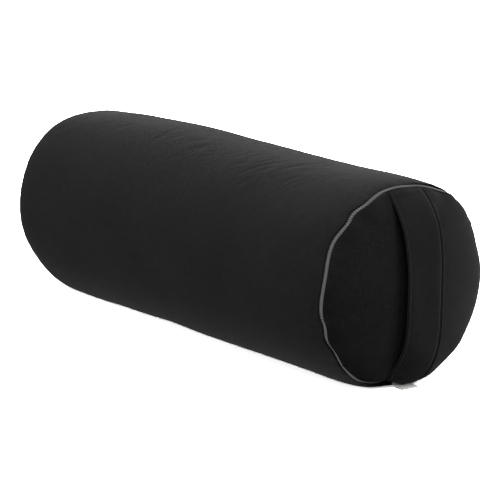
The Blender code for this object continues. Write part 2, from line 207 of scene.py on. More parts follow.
def run_along(points: Array) -> Array:
    """The distance along a line of points, at each of them."""
    return np.concatenate([[0], np.cumsum(np.linalg.norm(np.diff(points, axis=0), axis=-1))])


def cut_grid(along: Array, across: Array) -> Array:
    """Places on the flat cloth, for each step along it and each step across it."""
    return np.stack(np.meshgrid(along, across, indexing="ij"), axis=-1)


def ring_points(x: Array | float, radius: Array | float, height: Array | float, angle: Array) -> Array:
    """Points round the X axis.

    Args:
        x: along the axis.
        radius: from the axis.
        height: of the axis.
        angle: from +Y towards +Z.

    Returns:
        A point for each set of values.
    """
    parts = np.broadcast_arrays(x, radius * np.cos(angle), height + radius * np.sin(angle))
    return np.stack(parts, axis=-1)


@dataclass(frozen=True)
class Datum:
    """Places that everything else is measured from, read from the frame."""

    zip_x: float  # the plane of the zip
    end_z: float  # height of the zip's centre
    fold_y: float  # the flap's hinge line
    back_x: float  # the plane of the back seam
    radius: float
    tube_z: float  # height of the tube's own centre
    front_depth: float
    back_depth: float
    slider_angle: float
    pull_pivot: Vector

    @classmethod
    def from_frame(cls, frame: dict) -> Datum:
        """Reads the places from the frame's joints and the boxes of its nodes."""
        joints = {joint["name"]: joint for joint in frame["joints"]}
        zip_x, _, end_z = joints["zip_travel"]["pos_m"]
        tube_low, tube_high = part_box("cover_body_panel")
        radius = (tube_high.y - tube_low.y) / 2
        slider_low, slider_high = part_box("zip_slider_body")
        slider = (slider_low + slider_high) / 2
        return cls(
            zip_x=zip_x,
            end_z=end_z,
            fold_y=joints["flap_open"]["pos_m"][1],
            back_x=tube_low.x,
            radius=radius,
            tube_z=tube_high.z - radius,
            front_depth=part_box("front_end_panel")[1].x - zip_x,
            back_depth=tube_low.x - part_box("cover_back_end_panel")[0].x,
            slider_angle=math.atan2(slider.z - end_z, slider.y),
            pull_pivot=Vector(joints["pull_swing"]["pos_m"]),
        )

    @property
    def fold_start(self) -> tuple[float, float, float]:
        """Where the cloth starts to turn with the flap.

        The fold slants, so that the cloth which the opened slider holds stays with the body.
        """
        return (self.zip_x, self.fold_y - 1 * MM, self.end_z)

    @property
    def fold_end(self) -> tuple[float, float, float]:
        """Where the cloth has turned all the way with the flap."""
        return (self.zip_x, self.fold_y - 40.5 * MM, self.end_z + 6 * MM)


@dataclass(frozen=True)
class WovenCloth:
    """Plain-woven cloth: crowns of thread, with painted shade in the gaps between them.

    The weave is drawn on the cut, so it follows the cloth round its curves.
    """

    name: str
    thread: str
    # colour of the gaps between threads: painted shade
    shaded_gap: str
    thread_mm: float
    relief_mm: float
    roughness: float
    gloss: float
    sheen: float
    slub: float = 0.5  # how uneven the thread is
    lint: float = 0.0
    rib: float = 1.0  # how much wider one set of threads is than the other

    def build(self) -> Material:
        """Makes the material."""
        made, tree = new_surface(self.name)
        shader = tree.nodes["Principled BSDF"]
        cut = add_node(tree, "ShaderNodeUVMap", {"uv_map": CUT_MAP}).outputs[0]
        waver = add_node(tree, "ShaderNodeTexNoise", inputs={"Vector": cut, "Scale": 90.0, "Detail": 2.0})
        shift = add_node(
            tree, "ShaderNodeVectorMath", {"operation": "MULTIPLY_ADD"},
            {0: waver.outputs["Color"], 1: (0.4 * self.thread_mm * MM,) * 3, 2: cut},
        )
        dense = 1 / (self.thread_mm * MM)
        threads = add_node(
            tree, "ShaderNodeVectorMath", {"operation": "MULTIPLY"},
            {0: shift.outputs[0], 1: (dense / self.rib, dense, dense)},
        ).outputs[0]
        split = add_node(tree, "ShaderNodeSeparateXYZ", inputs={0: threads})
        crowns = []
        for axis in range(2):
            angle = add_node(
                tree, "ShaderNodeMath", {"operation": "MULTIPLY"}, {0: split.outputs[axis], 1: math.pi}
            )
            wave = add_node(tree, "ShaderNodeMath", {"operation": "SINE"}, {0: angle.outputs[0]})
            crown = add_node(tree, "ShaderNodeMath", {"operation": "ABSOLUTE"}, {0: wave.outputs[0]})
            crowns.append(crown.outputs[0])
        over = add_node(tree, "ShaderNodeTexChecker", inputs={"Vector": threads, "Scale": 1.0})
        weave = add_node(
            tree, "ShaderNodeMix", {"data_type": "FLOAT"},
            {0: over.outputs["Fac"], 2: crowns[0], 3: crowns[1]},
        ).outputs[0]
        slubs = []
        for stretch in ((70.0, 900.0, 1.0), (900.0, 70.0, 1.0)):
            placed = add_node(
                tree, "ShaderNodeVectorMath", {"operation": "MULTIPLY"}, {0: cut, 1: stretch}
            )
            grain = add_node(
                tree, "ShaderNodeTexNoise",
                inputs={"Vector": placed.outputs[0], "Scale": 1.0, "Detail": 3.0},
            )
            slubs.append(grain.outputs["Fac"])
        slub = add_node(
            tree, "ShaderNodeMath", {"operation": "MULTIPLY"}, {0: slubs[0], 1: slubs[1]}
        )
        uneven = add_node(
            tree, "ShaderNodeMath", {"operation": "MULTIPLY_ADD"},
            {0: slub.outputs[0], 1: 4 * self.slub, 2: -self.slub},
        ).outputs[0]
        height = add_node(
            tree, "ShaderNodeMath", {"operation": "ADD"}, {0: weave, 1: uneven}
        ).outputs[0]
        wear = add_node(tree, "ShaderNodeTexNoise", inputs={"Vector": cut, "Scale": 14.0, "Detail": 4.0})
        tone = add_node(
            tree, "ShaderNodeMath", {"operation": "MULTIPLY_ADD"},
            {0: wear.outputs["Fac"], 1: 0.5, 2: -0.25},
        )
        # painted shade: the low gaps between threads take the darker gap colour, the raised crowns the
        # thread colour, with a random tone on top
        crown_share = add_node(
            tree, "ShaderNodeMath", {"operation": "MULTIPLY_ADD", "use_clamp": True},
            {0: height, 1: 0.6, 2: tone.outputs[0]},
        )
        colour = add_node(
            tree, "ShaderNodeMix", {"data_type": "RGBA"},
            {0: crown_share.outputs[0], 6: hex_linear(self.shaded_gap), 7: hex_linear(self.thread)},
        ).outputs[2]
        if self.lint:
            colour = self.add_lint(tree, cut, colour)
        bump = add_node(
            tree, "ShaderNodeBump", inputs={"Height": height, "Distance": self.relief_mm * MM}
        )
        tree.links.new(colour, shader.inputs["Base Color"])
        tree.links.new(bump.outputs[0], shader.inputs["Normal"])
        shader.inputs["Roughness"].default_value = self.roughness
        shader.inputs["Specular IOR Level"].default_value = self.gloss
        shader.inputs["Sheen Weight"].default_value = self.sheen
        shader.inputs["Sheen Roughness"].default_value = 0.45
        return made

    def add_lint(self, tree: NodeTree, cut: Socket, colour: Socket) -> Socket:
        """Scatters a few pale specks of fluff, which black cotton always carries."""
        cells = add_node(tree, "ShaderNodeTexVoronoi", inputs={"Vector": cut, "Scale": 420.0})
        near = add_node(
            tree, "ShaderNodeMath", {"operation": "LESS_THAN"}, {0: cells.outputs["Distance"], 1: 0.16}
        )
        pick = add_node(tree, "ShaderNodeSeparateColor", inputs={0: cells.outputs["Color"]})
        few = add_node(
            tree, "ShaderNodeMath", {"operation": "GREATER_THAN"}, {0: pick.outputs[0], 1: 0.86}
        )
        both = add_node(
            tree, "ShaderNodeMath", {"operation": "MULTIPLY"}, {0: near.outputs[0], 1: few.outputs[0]}
        )
        share = add_node(
            tree, "ShaderNodeMath", {"operation": "MULTIPLY"}, {0: both.outputs[0], 1: self.lint}
        )
        return add_node(
            tree, "ShaderNodeMix", {"data_type": "RGBA"},
            {0: share.outputs[0], 6: colour, 7: hex_linear("#8c8a86")},
        ).outputs[2]


@dataclass(frozen=True)
class Moulded:
    """A solid finish with a fine grain: nylon, thread, lacquer or foam."""

    name: str
    base: str
    dark: str
    grain_mm: float
    relief_mm: float
    roughness: float
    sheen: float = 0.0
    coat: float = 0.0

    def build(self) -> Material:
        """Makes the material from the object's own coordinates."""
        made, tree = new_surface(self.name)
        shader = tree.nodes["Principled BSDF"]
        place = add_node(tree, "ShaderNodeTexCoord").outputs["Object"]
        grain = add_node(
            tree, "ShaderNodeTexNoise",
            inputs={"Vector": place, "Scale": 1 / (self.grain_mm * MM), "Detail": 5.0},
        ).outputs["Fac"]
        colour = add_node(
            tree, "ShaderNodeMix", {"data_type": "RGBA"},
            {0: grain, 6: hex_linear(self.dark), 7: hex_linear(self.base)},
        )
        bump = add_node(
            tree, "ShaderNodeBump", inputs={"Height": grain, "Distance": self.relief_mm * MM}
        )
        tree.links.new(colour.outputs[2], shader.inputs["Base Color"])
        tree.links.new(bump.outputs[0], shader.inputs["Normal"])
        shader.inputs["Roughness"].default_value = self.roughness
        shader.inputs["Sheen Weight"].default_value = self.sheen
        shader.inputs["Coat Weight"].default_value = self.coat
        return made


# In each woven cloth below, the second colour is painted shade in the gaps between its threads
# Black 12 oz cotton canvas: matte, brushed soft, with a haze of fibre that lights up at the edges
CANVAS = WovenCloth(
    "black_cotton_canvas", "#232222", "#0b0a0a", 1.1, 0.15, 0.8, 0.04, 0.12, 0.6, 0.14, rib=1.7
)
# The same canvas folded to a strap, a little flatter from pressing
STRAP_CANVAS = WovenCloth(
    "black_canvas_strap", "#232222", "#0b0a0a", 1.1, 0.13, 0.8, 0.04, 0.12, 0.5, 0.12, rib=1.5
)
# Knitted polyester tape with narrow wales, drawn at its real spacing
ZIP_TAPE = WovenCloth("black_polyester_tape", "#131313", "#080808", 0.7, 0.08, 0.8, 0.2, 0.0, 0.2)
# Satin ribbon with fine ribs, off-white, with painted shade in the gaps between its threads
RIBBON = WovenCloth("pale_satin_ribbon", "#f2f1ee", "#cfcecb", 0.5, 0.05, 0.5, 0.5, 0.1, 0.2)
# Unbleached calico with visible flecks
CALICO = WovenCloth("unbleached_calico", "#d8ccb4", "#a99b80", 0.9, 0.12, 0.9, 0.3, 0.1, 0.7)
# Extruded nylon monofilament, dyed grey, with the soft gloss of plastic
NYLON = Moulded("grey_nylon_monofilament", "#8e8f90", "#6b6c6d", 1.2, 0.02, 0.4)
# Spun polyester sewing thread
THREAD = Moulded("black_sewing_thread", "#1a1919", "#0c0c0c", 0.4, 0.05, 0.8)
# Die-cast zinc under black lacquer, with fine orange peel
LACQUER = Moulded("black_lacquered_zinc", "#202022", "#141416", 2.0, 0.03, 0.3, 0.0, 0.4)
# Open-cell polyurethane foam
FOAM = Moulded("polyurethane_foam", "#e0d6b0", "#b5aa82", 1.0, 0.5, 0.95)
# Carded polyester batting with long soft fibres
BATTING = Moulded("polyester_batting", "#f0efeb", "#cfcdc6", 4.0, 1.5, 0.95, 0.4)


@dataclass
class Finishes:
    """Every material of the object, each made once."""

    canvas: Material = field(default_factory=CANVAS.build)
    strap: Material = field(default_factory=STRAP_CANVAS.build)
    tape: Material = field(default_factory=ZIP_TAPE.build)
    ribbon: Material = field(default_factory=RIBBON.build)
    calico: Material = field(default_factory=CALICO.build)
    nylon: Material = field(default_factory=NYLON.build)
    thread: Material = field(default_factory=THREAD.build)
    lacquer: Material = field(default_factory=LACQUER.build)
    foam: Material = field(default_factory=FOAM.build)
    batting: Material = field(default_factory=BATTING.build)


def add_object(name: str, data: bpy.types.ID) -> Object:
    """Makes an object of its data and puts it in the scene."""
    made = bpy.data.objects.new(name, data)
    bpy.context.scene.collection.objects.link(made)
    return made


def link_piece(name: str, mesh: MeshData, finish: Material) -> Object:
    """Makes an object of a finished mesh.

    Args:
        name: the piece's name.
        mesh: its mesh, in place in the frame.
        finish: its material.

    Returns:
        The object, which stands at the origin.
    """
    bm = bmesh.new()
    bm.from_mesh(mesh)
    bmesh.ops.recalc_face_normals(bm, faces=bm.faces)
    for face in bm.faces:
        face.smooth = len(face.verts) <= 4
        if not face.smooth:
            for edge in face.edges:
                edge.smooth = False
    bm.to_mesh(mesh)
    bm.free()
    mesh.materials.clear()
    mesh.materials.append(finish)
    return add_object(name, mesh)


@dataclass
class ClothGrid:
    """A sheet of cloth closed round its columns, with its rows in order towards +X.

    A row whose points all meet is a pole.
    """

    points: Array  # rows, columns, 3
    cut: Array  # rows, columns + 1, 2

    @staticmethod
    def is_pole(row: Array) -> bool:
        """Tells whether all points of a row meet."""
        return bool(np.ptp(row, axis=0).max() < 1e-7)

    def normals(self) -> Array:
        """The outward direction at each point."""
        beside = np.roll(self.points, -1, axis=1) - np.roll(self.points, 1, axis=1)
        found = np.cross(beside, np.gradient(self.points, axis=0))
        for row in (0, -1):
            if self.is_pole(self.points[row]):
                found[row] = found[1 if row == 0 else -2].mean(axis=0)
        return unit(found)

    def lifted(self, amount: Array) -> ClothGrid:
        """The same cloth, moved outwards by an amount at each point."""
        return ClothGrid(self.points + self.normals() * amount[..., None], self.cut)

    def rested(self, floor: float, ease: float) -> ClothGrid:
        """The same cloth, flattened where it meets the floor.

        Args:
            floor: the height that it rests at.
            ease: how softly it turns into the flat.

        Returns:
            The flattened cloth.
        """
        rested = self.points.copy()
        above = rested[..., 2] - floor
        rested[..., 2] = floor + 0.5 * (above + np.sqrt(above**2 + ease**2))
        return ClothGrid(rested, self.cut)

    def shell(self, name: str, thickness: float, inner_step: int = 3) -> MeshData:
        """Gives the sheet a thickness inwards, with rounded edges, as one closed mesh.

        Args:
            name: the mesh's name.
            thickness: of the cloth or of its folded hem.
            inner_step: the inner face keeps one row in this many.

        Returns:
            The mesh, with its cut as a UV map.
        """
        normal = self.normals()
        chain, cuts = list(self.points), list(self.cut)
        kept = sorted({*range(0, len(chain), inner_step), len(chain) - 1}, reverse=True)
        bends = [math.radians(a) for a in (45, 90, 135)]

        def nose(row: int, before: int) -> list[Array]:
            """The rounded edge beyond an end row, from its outer side to its inner side."""
            outwards = unit(self.points[row] - self.points[before])
            middle = self.points[row] - normal[row] * thickness / 2
            return [
                middle + (normal[row] * math.cos(b) + outwards * math.sin(b)) * thickness / 2
                for b in bends
            ]

        if not self.is_pole(self.points[-1]):
            chain += nose(-1, -2)
            cuts += [self.cut[-1]] * len(bends)
        for row in kept:
            chain.append(self.points[row] - normal[row] * thickness)
            cuts.append(self.cut[row])
        if not self.is_pole(self.points[0]):
            chain += nose(0, 1)[::-1]
            cuts += [self.cut[0]] * len(bends)
        return chain_mesh(name, chain, cuts)


def cut_mesh(name: str, vertices: list | Array, faces: list, places: list) -> MeshData:
    """Makes a mesh with its cut as a UV map.

    Args:
        name: the mesh's name.
        vertices: its points.
        faces: the numbers of each face's points.
        places: the place on the flat cloth of each corner of each face.

    Returns:
        The mesh.
    """
    mesh = bpy.data.meshes.new(name)
    mesh.from_pydata([tuple(v) for v in vertices], [], faces)
    layer = mesh.uv_layers.new(name=CUT_MAP)
    layer.data.foreach_set("uv", np.array(places, np.float32).ravel())
    return mesh


def chain_mesh(name: str, chain: list[Array], cuts: list[Array]) -> MeshData:
    """Joins rings of points in order, and the last to the first, as one closed mesh.

    Args:
        name: the mesh's name.
        chain: rings of the same number of points. A ring whose points all meet becomes one point.
        cuts: each ring's place on the flat cloth, with one more entry than the ring has points.

    Returns:
        The mesh, with its cut as a UV map.
    """
    columns = len(chain[0])
    vertices: list[Array] = []
    firsts: list[int] = []
    poles: list[bool] = []
    for ring in chain:
        pole = ClothGrid.is_pole(ring)
        firsts.append(len(vertices))
        poles.append(pole)
        vertices.extend(ring[:1] if pole else ring)
    faces: list[tuple[int, ...]] = []
    places: list[Array] = []
    for at in range(len(chain)):
        after = (at + 1) % len(chain)
        if poles[at] and poles[after]:
            continue
        for column in range(columns):
            following = (column + 1) % columns
            quad = [
                (firsts[at] + (0 if poles[at] else column), cuts[at][column]),
                (firsts[at] + (0 if poles[at] else following), cuts[at][column + 1]),
                (firsts[after] + (0 if poles[after] else following), cuts[after][column + 1]),
                (firsts[after] + (0 if poles[after] else column), cuts[after][column]),
            ]
            if poles[at]:
                del quad[1]
            elif poles[after]:
                del quad[3]
            faces.append(tuple(corner[0] for corner in quad))
            places.extend(corner[1] for corner in quad)
    return cut_mesh(name, vertices, faces, places)


def swept_mesh(name: str, outlines: Array, cuts: Array, closed: bool = False) -> MeshData:
    """Sweeps a closed outline along a path.

    Args:
        name: the mesh's name.
        outlines: stations, points, 3. The outline turns anticlockwise about the way it travels.
        cuts: stations, points + 1, 2: each point's place on the flat cloth.
        closed: joins the last station to the first. Otherwise both ends are capped.

    Returns:
        The mesh, with its cut as a UV map.
    """
    stations, count = outlines.shape[:2]
    faces: list[tuple[int, ...]] = []
    places: list[Array] = []
    for at in range(stations if closed else stations - 1):
        after = (at + 1) % stations
        for step in range(count):
            turn = (step + 1) % count
            faces.append((
                at * count + step, at * count + turn, after * count + turn, after * count + step
            ))
            places.extend((cuts[at, step], cuts[at, step + 1], cuts[after, step + 1], cuts[after, step]))
    if not closed:
        faces.append(tuple(range(count))[::-1])
        places.extend(cuts[0, step] for step in range(count)[::-1])
        last = (stations - 1) * count
        faces.append(tuple(last + step for step in range(count)))
        places.extend(cuts[-1, step] for step in range(count))
    return cut_mesh(name, outlines.reshape(-1, 3), faces, places)


@dataclass
class PathRepeater:
    """Sets one small shape again and again along a path, facing outwards, by Geometry Nodes."""

    tree: NodeTree | None = None

    def build_tree(self) -> NodeTree:
        """Builds the tree, with named inputs for the shape, their number and the finish."""
        tree = bpy.data.node_groups.new("repeat_along_path", "GeometryNodeTree")
        for name, kind in (
            ("Path", "NodeSocketGeometry"),
            ("Shape", "NodeSocketObject"),
            ("Number", "NodeSocketInt"),
            ("Finish", "NodeSocketMaterial"),
        ):
            tree.interface.new_socket(name=name, in_out="INPUT", socket_type=kind)
        tree.interface.new_socket(name="Shapes", in_out="OUTPUT", socket_type="NodeSocketGeometry")
        given = add_node(tree, "NodeGroupInput").outputs
        curve = add_node(tree, "GeometryNodeMeshToCurve", inputs={"Mesh": given["Path"]})
        spaced = add_node(
            tree, "GeometryNodeCurveToPoints", {"mode": "COUNT"},
            {"Curve": curve.outputs[0], "Count": given["Number"]},
        )
        outwards = add_node(
            tree, "GeometryNodeInputNamedAttribute", {"data_type": "FLOAT_VECTOR"}, {"Name": "outwards"}
        )
        along = add_node(
            tree, "FunctionNodeAlignRotationToVector", {"axis": "X", "pivot_axis": "AUTO"},
            {"Vector": spaced.outputs["Tangent"]},
        )
        facing = add_node(
            tree, "FunctionNodeAlignRotationToVector", {"axis": "Z", "pivot_axis": "X"},
            {"Rotation": along.outputs[0], "Vector": outwards.outputs[0]},
        )
        shape = add_node(tree, "GeometryNodeObjectInfo", inputs={"Object": given["Shape"]})
        placed = add_node(
            tree, "GeometryNodeInstanceOnPoints",
            inputs={
                "Points": spaced.outputs["Points"],
                "Instance": shape.outputs["Geometry"],
                "Rotation": facing.outputs[0],
            },
        )
        real = add_node(tree, "GeometryNodeRealizeInstances", inputs={0: placed.outputs[0]})
        painted = add_node(
            tree, "GeometryNodeSetMaterial", inputs={0: real.outputs[0], "Material": given["Finish"]}
        )
        add_node(tree, "NodeGroupOutput", inputs={"Shapes": painted.outputs[0]})
        return tree

    def repeat(
        self, name: str, path: Array, outwards: Array, shape: MeshData, spacing: float,
        finish: Material,
    ) -> Object:
        """Sets the shape along the path and makes the result a plain mesh.

        Args:
            name: the new piece's name.
            path: points along the path.
            outwards: the way the shape's +Z faces at each point. Its +X runs along the path.
            shape: the mesh that is repeated.
            spacing: the distance between two shapes.
            finish: the material.

        Returns:
            The finished piece.
        """
        if self.tree is None:
            self.tree = self.build_tree()
        line = bpy.data.meshes.new(name + "_path")
        edges = [(at, at + 1) for at in range(len(path) - 1)]
        line.from_pydata([tuple(p) for p in path], edges, [])
        attribute = line.attributes.new("outwards", "FLOAT_VECTOR", "POINT")
        attribute.data.foreach_set("vector", np.asarray(outwards, np.float32).ravel())
        carrier = add_object(name + "_path", line)
        single = add_object(name + "_shape", shape)
        modifier = carrier.modifiers.new("Repeat", "NODES")
        modifier.node_group = self.tree
        sockets = {item.name: item.identifier for item in self.tree.interface.items_tree}
        modifier[sockets["Shape"]] = single
        modifier[sockets["Number"]] = max(2, round(run_along(path)[-1] / spacing) + 1)
        modifier[sockets["Finish"]] = finish
        graph = bpy.context.evaluated_depsgraph_get()
        mesh = bpy.data.meshes.new_from_object(carrier.evaluated_get(graph))
        mesh.name = name
        for helper in (carrier, single):
            bpy.data.objects.remove(helper, do_unlink=True)
        return link_piece(name, mesh, finish)


def ring_shape(name: str, centres: Array, radius: float, sides: int) -> MeshData:
    """A thin tube round a closed loop of points.

    Args:
        name: the mesh's name.
        centres: the loop's points.
        radius: of the tube.
        sides: how many sides the tube has.

    Returns:
        The closed mesh.
    """
    ahead = unit(np.roll(centres, -1, axis=0) - np.roll(centres, 1, axis=0))
    inwards = centres.mean(axis=0) - centres
    inwards = unit(inwards - ahead * (inwards * ahead).sum(axis=1, keepdims=True))
    beside = np.cross(ahead, inwards)
    angles = full_turn(sides)[None, :, None]
    outlines = centres[:, None] + radius * (
        inwards[:, None] * np.cos(angles) + beside[:, None] * np.sin(angles)
    )
    cuts = np.zeros((len(centres), sides + 1, 2))
    return swept_mesh(name, outlines, cuts, closed=True)


def stitch_shape(length: float, radius: float) -> MeshData:
    """One stitch: a short thick thread whose ends dive into the cloth.

    Args:
        length: from hole to hole.
        radius: of the thread.

    Returns:
        The closed mesh, lying along X.
    """
    sides = 6
    angles = full_turn(sides)
    outlines = []
    for share in (-1.0, -0.8, -0.3, 0.3, 0.8, 1.0):
        x = share * length / 2
        z = radius * (0.7 - 1.6 * share**4)
        girth = radius * (1 - 0.45 * share**6)
        outlines.append(ring_points(x, girth, z, angles))
    cuts = np.zeros((len(outlines), sides + 1, 2))
    return swept_mesh("stitch", np.array(outlines), cuts)


def shoulder(share: Array | float, power: float, root: float) -> Array:
    """Rises from 0 at a seam to 1, steeply at first, as filled cloth rounds over."""
    share = np.clip(share, 0.0, 1.0)
    return (1 - (1 - share) ** power) ** (1 / root)


def angle_gap(angle: Array, centre: float) -> Array:
    """Degrees from a centre angle to each angle, the short way round."""
    return (np.degrees(angle) - centre + 180) % 360 - 180


@dataclass(frozen=True)
class DomedEnd:
    """One round end: where its seam lies, and the dome of its panel."""

    seam_x: float
    side: int  # 1 towards +X and -1 towards -X
    height: float  # of its centre
    rim: float
    depth: float
    power: float  # 2 is an ellipse, and more is a fuller shoulder
    root: float
    crown: float = 0.0  # how much further its middle swells

    def out(self, radius: Array) -> Array:
        """How far the dome stands out at each radius."""
        away = np.abs(radius) / self.rim
        share = np.clip(1 - away**self.power, 0, None)
        return self.depth * share ** (1 / self.root) + self.crown * np.clip(1 - away**2, 0, None) ** 2

    def radius_at(self, out: float) -> float:
        """The radius at which the dome stands out by this much."""
        return self.rim * (1 - (out / self.depth) ** self.root) ** (1 / self.power)


@dataclass(frozen=True)
class RimLift:
    """A stretch of the zip's seam that stands out from its circle or is drawn in."""

    angle: float  # degrees
    spread: float  # degrees
    height: float

    def at(self, angle: Array) -> Array:
        """The lift at each angle."""
        return self.height * np.exp(-((angle_gap(angle, self.angle) / self.spread) ** 2))


@dataclass(frozen=True)
class Bulge:
    """A place where the filling is fuller or slacker than the plain tube."""

    x: float
    angle: float  # degrees
    length: float
    spread: float  # degrees
    height: float

    def at(self, x: Array, angle: Array) -> Array:
        """The lift at each place."""
        turned = angle_gap(angle, self.angle) / self.spread
        return self.height * np.exp(-(((x - self.x) / self.length) ** 2) - turned**2)


def lifts_mm(*rows: tuple[float, float, float]) -> tuple[RimLift, ...]:
    """Lifts from rows of an angle, a spread and a height in mm."""
    return tuple(RimLift(angle, spread, height * MM) for angle, spread, height in rows)


def bulges_mm(*rows: tuple[float, float, float, float, float]) -> tuple[Bulge, ...]:
    """Bulges from rows of a place in mm, an angle, a length in mm, a spread and a height in mm."""
    return tuple(
        Bulge(x * MM, angle, length * MM, spread, height * MM)
        for x, angle, length, spread, height in rows
    )


@dataclass
class CoverShape:
    """The cover's round form: a tube drawn in at both seams, with two domed ends."""

    datum: Datum
    groove: float = 4.5 * MM  # from the zip's centre line to each cloth edge
    seam_gap: float = 1.1 * MM  # between both cloth edges where the end is sewn in without a zip
    sewn_to: tuple[float, float] = (33, 40.5)  # degrees from +Y over which the seam opens for the zip
    front_rim: float = 109.9 * MM  # radius of the front dome
    front_crown: float = 7.5 * MM
    front_edge: float = 109.0 * MM  # the tube's radius at the zip
    front_draw: float = 30 * MM  # the stretch over which it is drawn in
    taper: RimLift = RimLift(196, 56, 1.0)  # where it is drawn in gently instead, as a share
    taper_stretch: float = 2.2  # how much longer the stretch is there, as a share
    taper_root: float = 0.45  # and how much less steeply it starts
    fullness: float = 2.6  # the power of the tube's shoulders at both seams
    front_root: float = 1.45  # how steeply the front one starts
    back_root: float = 1.9
    back_over: float = 4.5 * MM  # how far the rounded shoulder carries the back seam
    back_edge: float = 107.5 * MM
    back_draw: float = 46 * MM
    back_height: float = 108 * MM  # the back end sinks a little
    floor: float = 0.3 * MM
    floor_ease: float = 1.2 * MM
    # The end panel behind the strap: drawn in under its edge towards -Y, and full under the other
    bed_hollow: float = 1.5 * MM
    bed_swell: float = 7.5 * MM
    bed_ends: tuple[float, float] = (58 * MM, 98 * MM)
    # Where along Y the hollow and the swell of this bed begin and end
    hollow_rise: tuple[float, float] = (-26 * MM, -16 * MM)
    hollow_fall: tuple[float, float] = (-8 * MM, 4 * MM)
    swell_rise: tuple[float, float] = (-6 * MM, 12 * MM)
    swell_fall: tuple[float, float] = (20 * MM, 37 * MM)
    wave_fade: float = 12 * MM  # how far into the cloth the gathers of the zip reach
    lift_fade: float = 20 * MM
    # The zip's gathers: where its line turns, in degrees, and how far it stands to the side, in mm
    waves: tuple[tuple[float, float], ...] = (
        (52, 0), (61, -1.0), (72, 0.9), (84, -0.2), (92, 0.5), (104, -1.3), (118, 2.0), (127, -2.1),
        (134, 1.5), (147, -3.2), (168, 2.3), (189, -1.9), (195, 0.8), (205, -3.0), (213, 1.9),
        (227, -2.8), (240, -1.6), (249, 0.2), (259, -1.9), (268, 0.8), (277, -1.8), (287, 1.1),
        (297, -1.4), (308, 0),
    )
    seam_lifts: tuple[RimLift, ...] = lifts_mm(
        (50, 4.5, 1.5), (56, 7, 2.0), (86, 6, -0.9), (232, 10, 0.8), (259, 9, -6.3)
    )
    body_lifts: tuple[RimLift, ...] = lifts_mm(
        (17, 9, -2.0), (44, 8, 2.8), (64, 12, 2.6), (100, 22, -0.8), (259, 9, 6.8), (294, 9, 1.8)
    )
    panel_lifts: tuple[RimLift, ...] = lifts_mm(
        (17, 9, -2.0), (43, 7, 2.8), (63, 11, -2.4), (100, 22, -0.8), (246, 9, -1.6), (294, 9, 1.8)
    )
    coil_lifts: tuple[RimLift, ...] = lifts_mm(
        (54, 6, 1.5), (66, 9, 0.4), (100, 22, 0.5), (215, 26, -0.9), (238, 8, 1.9)
    )
    body_reach: RimLift = RimLift(192, 55, 1.3 * MM)  # where the tube's edge lies closer to the zip
    # Where the panel laps over the zip, and where it leaves room for the opened slider
    panel_laps: tuple[RimLift, ...] = lifts_mm((221, 16, 1.4), (315.5, 6.5, -1.7))
    bulges: tuple[Bulge, ...] = bulges_mm(
        (60, 84, 340, 48, 0.7), (-90, 72, 75, 45, 2.9), (-268, 74, 38, 38, -3.3),
        (-302, 90, 22, 15, -2.3), (-302, 123, 24, 14, 2.0), (-302, 146, 24, 10, 1.2),
        (-288, 217, 30, 18, -2.5), (276, 253, 22, 13, 1.4), (45, 72, 45, 40, 0.6),
        (240, 72, 40, 45, 1.0), (-60, 246, 42, 35, -1.5), (-212, 246, 40, 35, 1.2),
        (-282, 246, 25, 35, 1.3), (150, 246, 120, 35, -0.8),
    )

    @property
    def front(self) -> DomedEnd:
        """The end with the zip and the strap."""
        datum = self.datum
        return DomedEnd(
            datum.zip_x, 1, datum.end_z, self.front_rim, datum.front_depth, *FULL_DOME, self.front_crown
        )

    @property
    def back(self) -> DomedEnd:
        """The plain end, which is sewn all round."""
        seam = self.datum.back_x - self.back_over
        depth = self.datum.back_depth - self.back_over
        return DomedEnd(seam, -1, self.back_height, self.back_edge + 0.6 * MM, depth, 2.3, 1.5)

    @property
    def cloth_front(self) -> float:
        """The plane of the tube's edge at the zip."""
        return self.datum.zip_x - self.groove

    def section(self, x: Array, angle: Array | None = None) -> tuple[Array, Array]:
        """The tube's radius and centre height at each place along it, at an angle or in general."""
        datum = self.datum
        gentle = 0.0 if angle is None else self.taper.at(angle)
        draw = self.front_draw * (1 + self.taper_stretch * gentle)
        root = self.front_root - self.taper_root * gentle
        front = shoulder((self.cloth_front - x) / draw, self.fullness, root)
        back = shoulder((x - self.back.seam_x) / self.back_draw, self.fullness, self.back_root)
        radius = datum.radius - (datum.radius - self.front_edge) * (1 - front)
        radius -= (datum.radius - self.back_edge) * (1 - back)
        height = datum.tube_z + (datum.end_z - datum.tube_z) * (1 - front)
        height += (self.back_height - datum.tube_z) * (1 - back)
        return radius, height

    def zip_wave(self, angle: Array) -> Array:
        """How far the gathered zip stands along X, and not where its slider parks."""
        turned = np.degrees(np.asarray(angle, float)) % 360
        places = np.array([place for place, _ in self.waves])
        shifts = np.array([shift for _, shift in self.waves]) * MM
        after = np.clip(np.searchsorted(places, turned), 1, len(places) - 1)
        share = smooth_share(turned, places[after - 1], places[after])
        return shifts[after - 1] + (shifts[after] - shifts[after - 1]) * share

    def swell(self, x: Array, angle: Array) -> Array:
        """How far the filling pushes the cloth out at each place, beyond the plain form."""
        return np.sum([bulge.at(x, angle) for bulge in self.bulges], axis=0)

    def rim_lift(self, angle: Array, edge: SeamEdge) -> Array:
        """How far one edge at the seam stands out from the zip's circle."""
        own = {
            SeamEdge.BODY: self.body_lifts, SeamEdge.PANEL: self.panel_lifts, SeamEdge.COIL: self.coil_lifts
        }[edge]
        return np.sum([lift.at(angle) for lift in self.seam_lifts + own], axis=0)

    def edge_shift(self, angle: Array, edge: SeamEdge) -> Array:
        """How far a cloth edge stands along X: with the gathers, and closed up where there is no zip."""
        if edge is SeamEdge.BODY:
            closed = 1 - smooth_share(np.abs(angle_gap(angle, 0)), *self.sewn_to)
            beside = self.body_reach.at(angle)
            return self.zip_wave(angle) + (2 * self.groove - self.seam_gap) * closed + beside
        laps = np.sum([lap.at(angle) for lap in self.panel_laps], axis=0)
        return self.zip_wave(angle) - laps

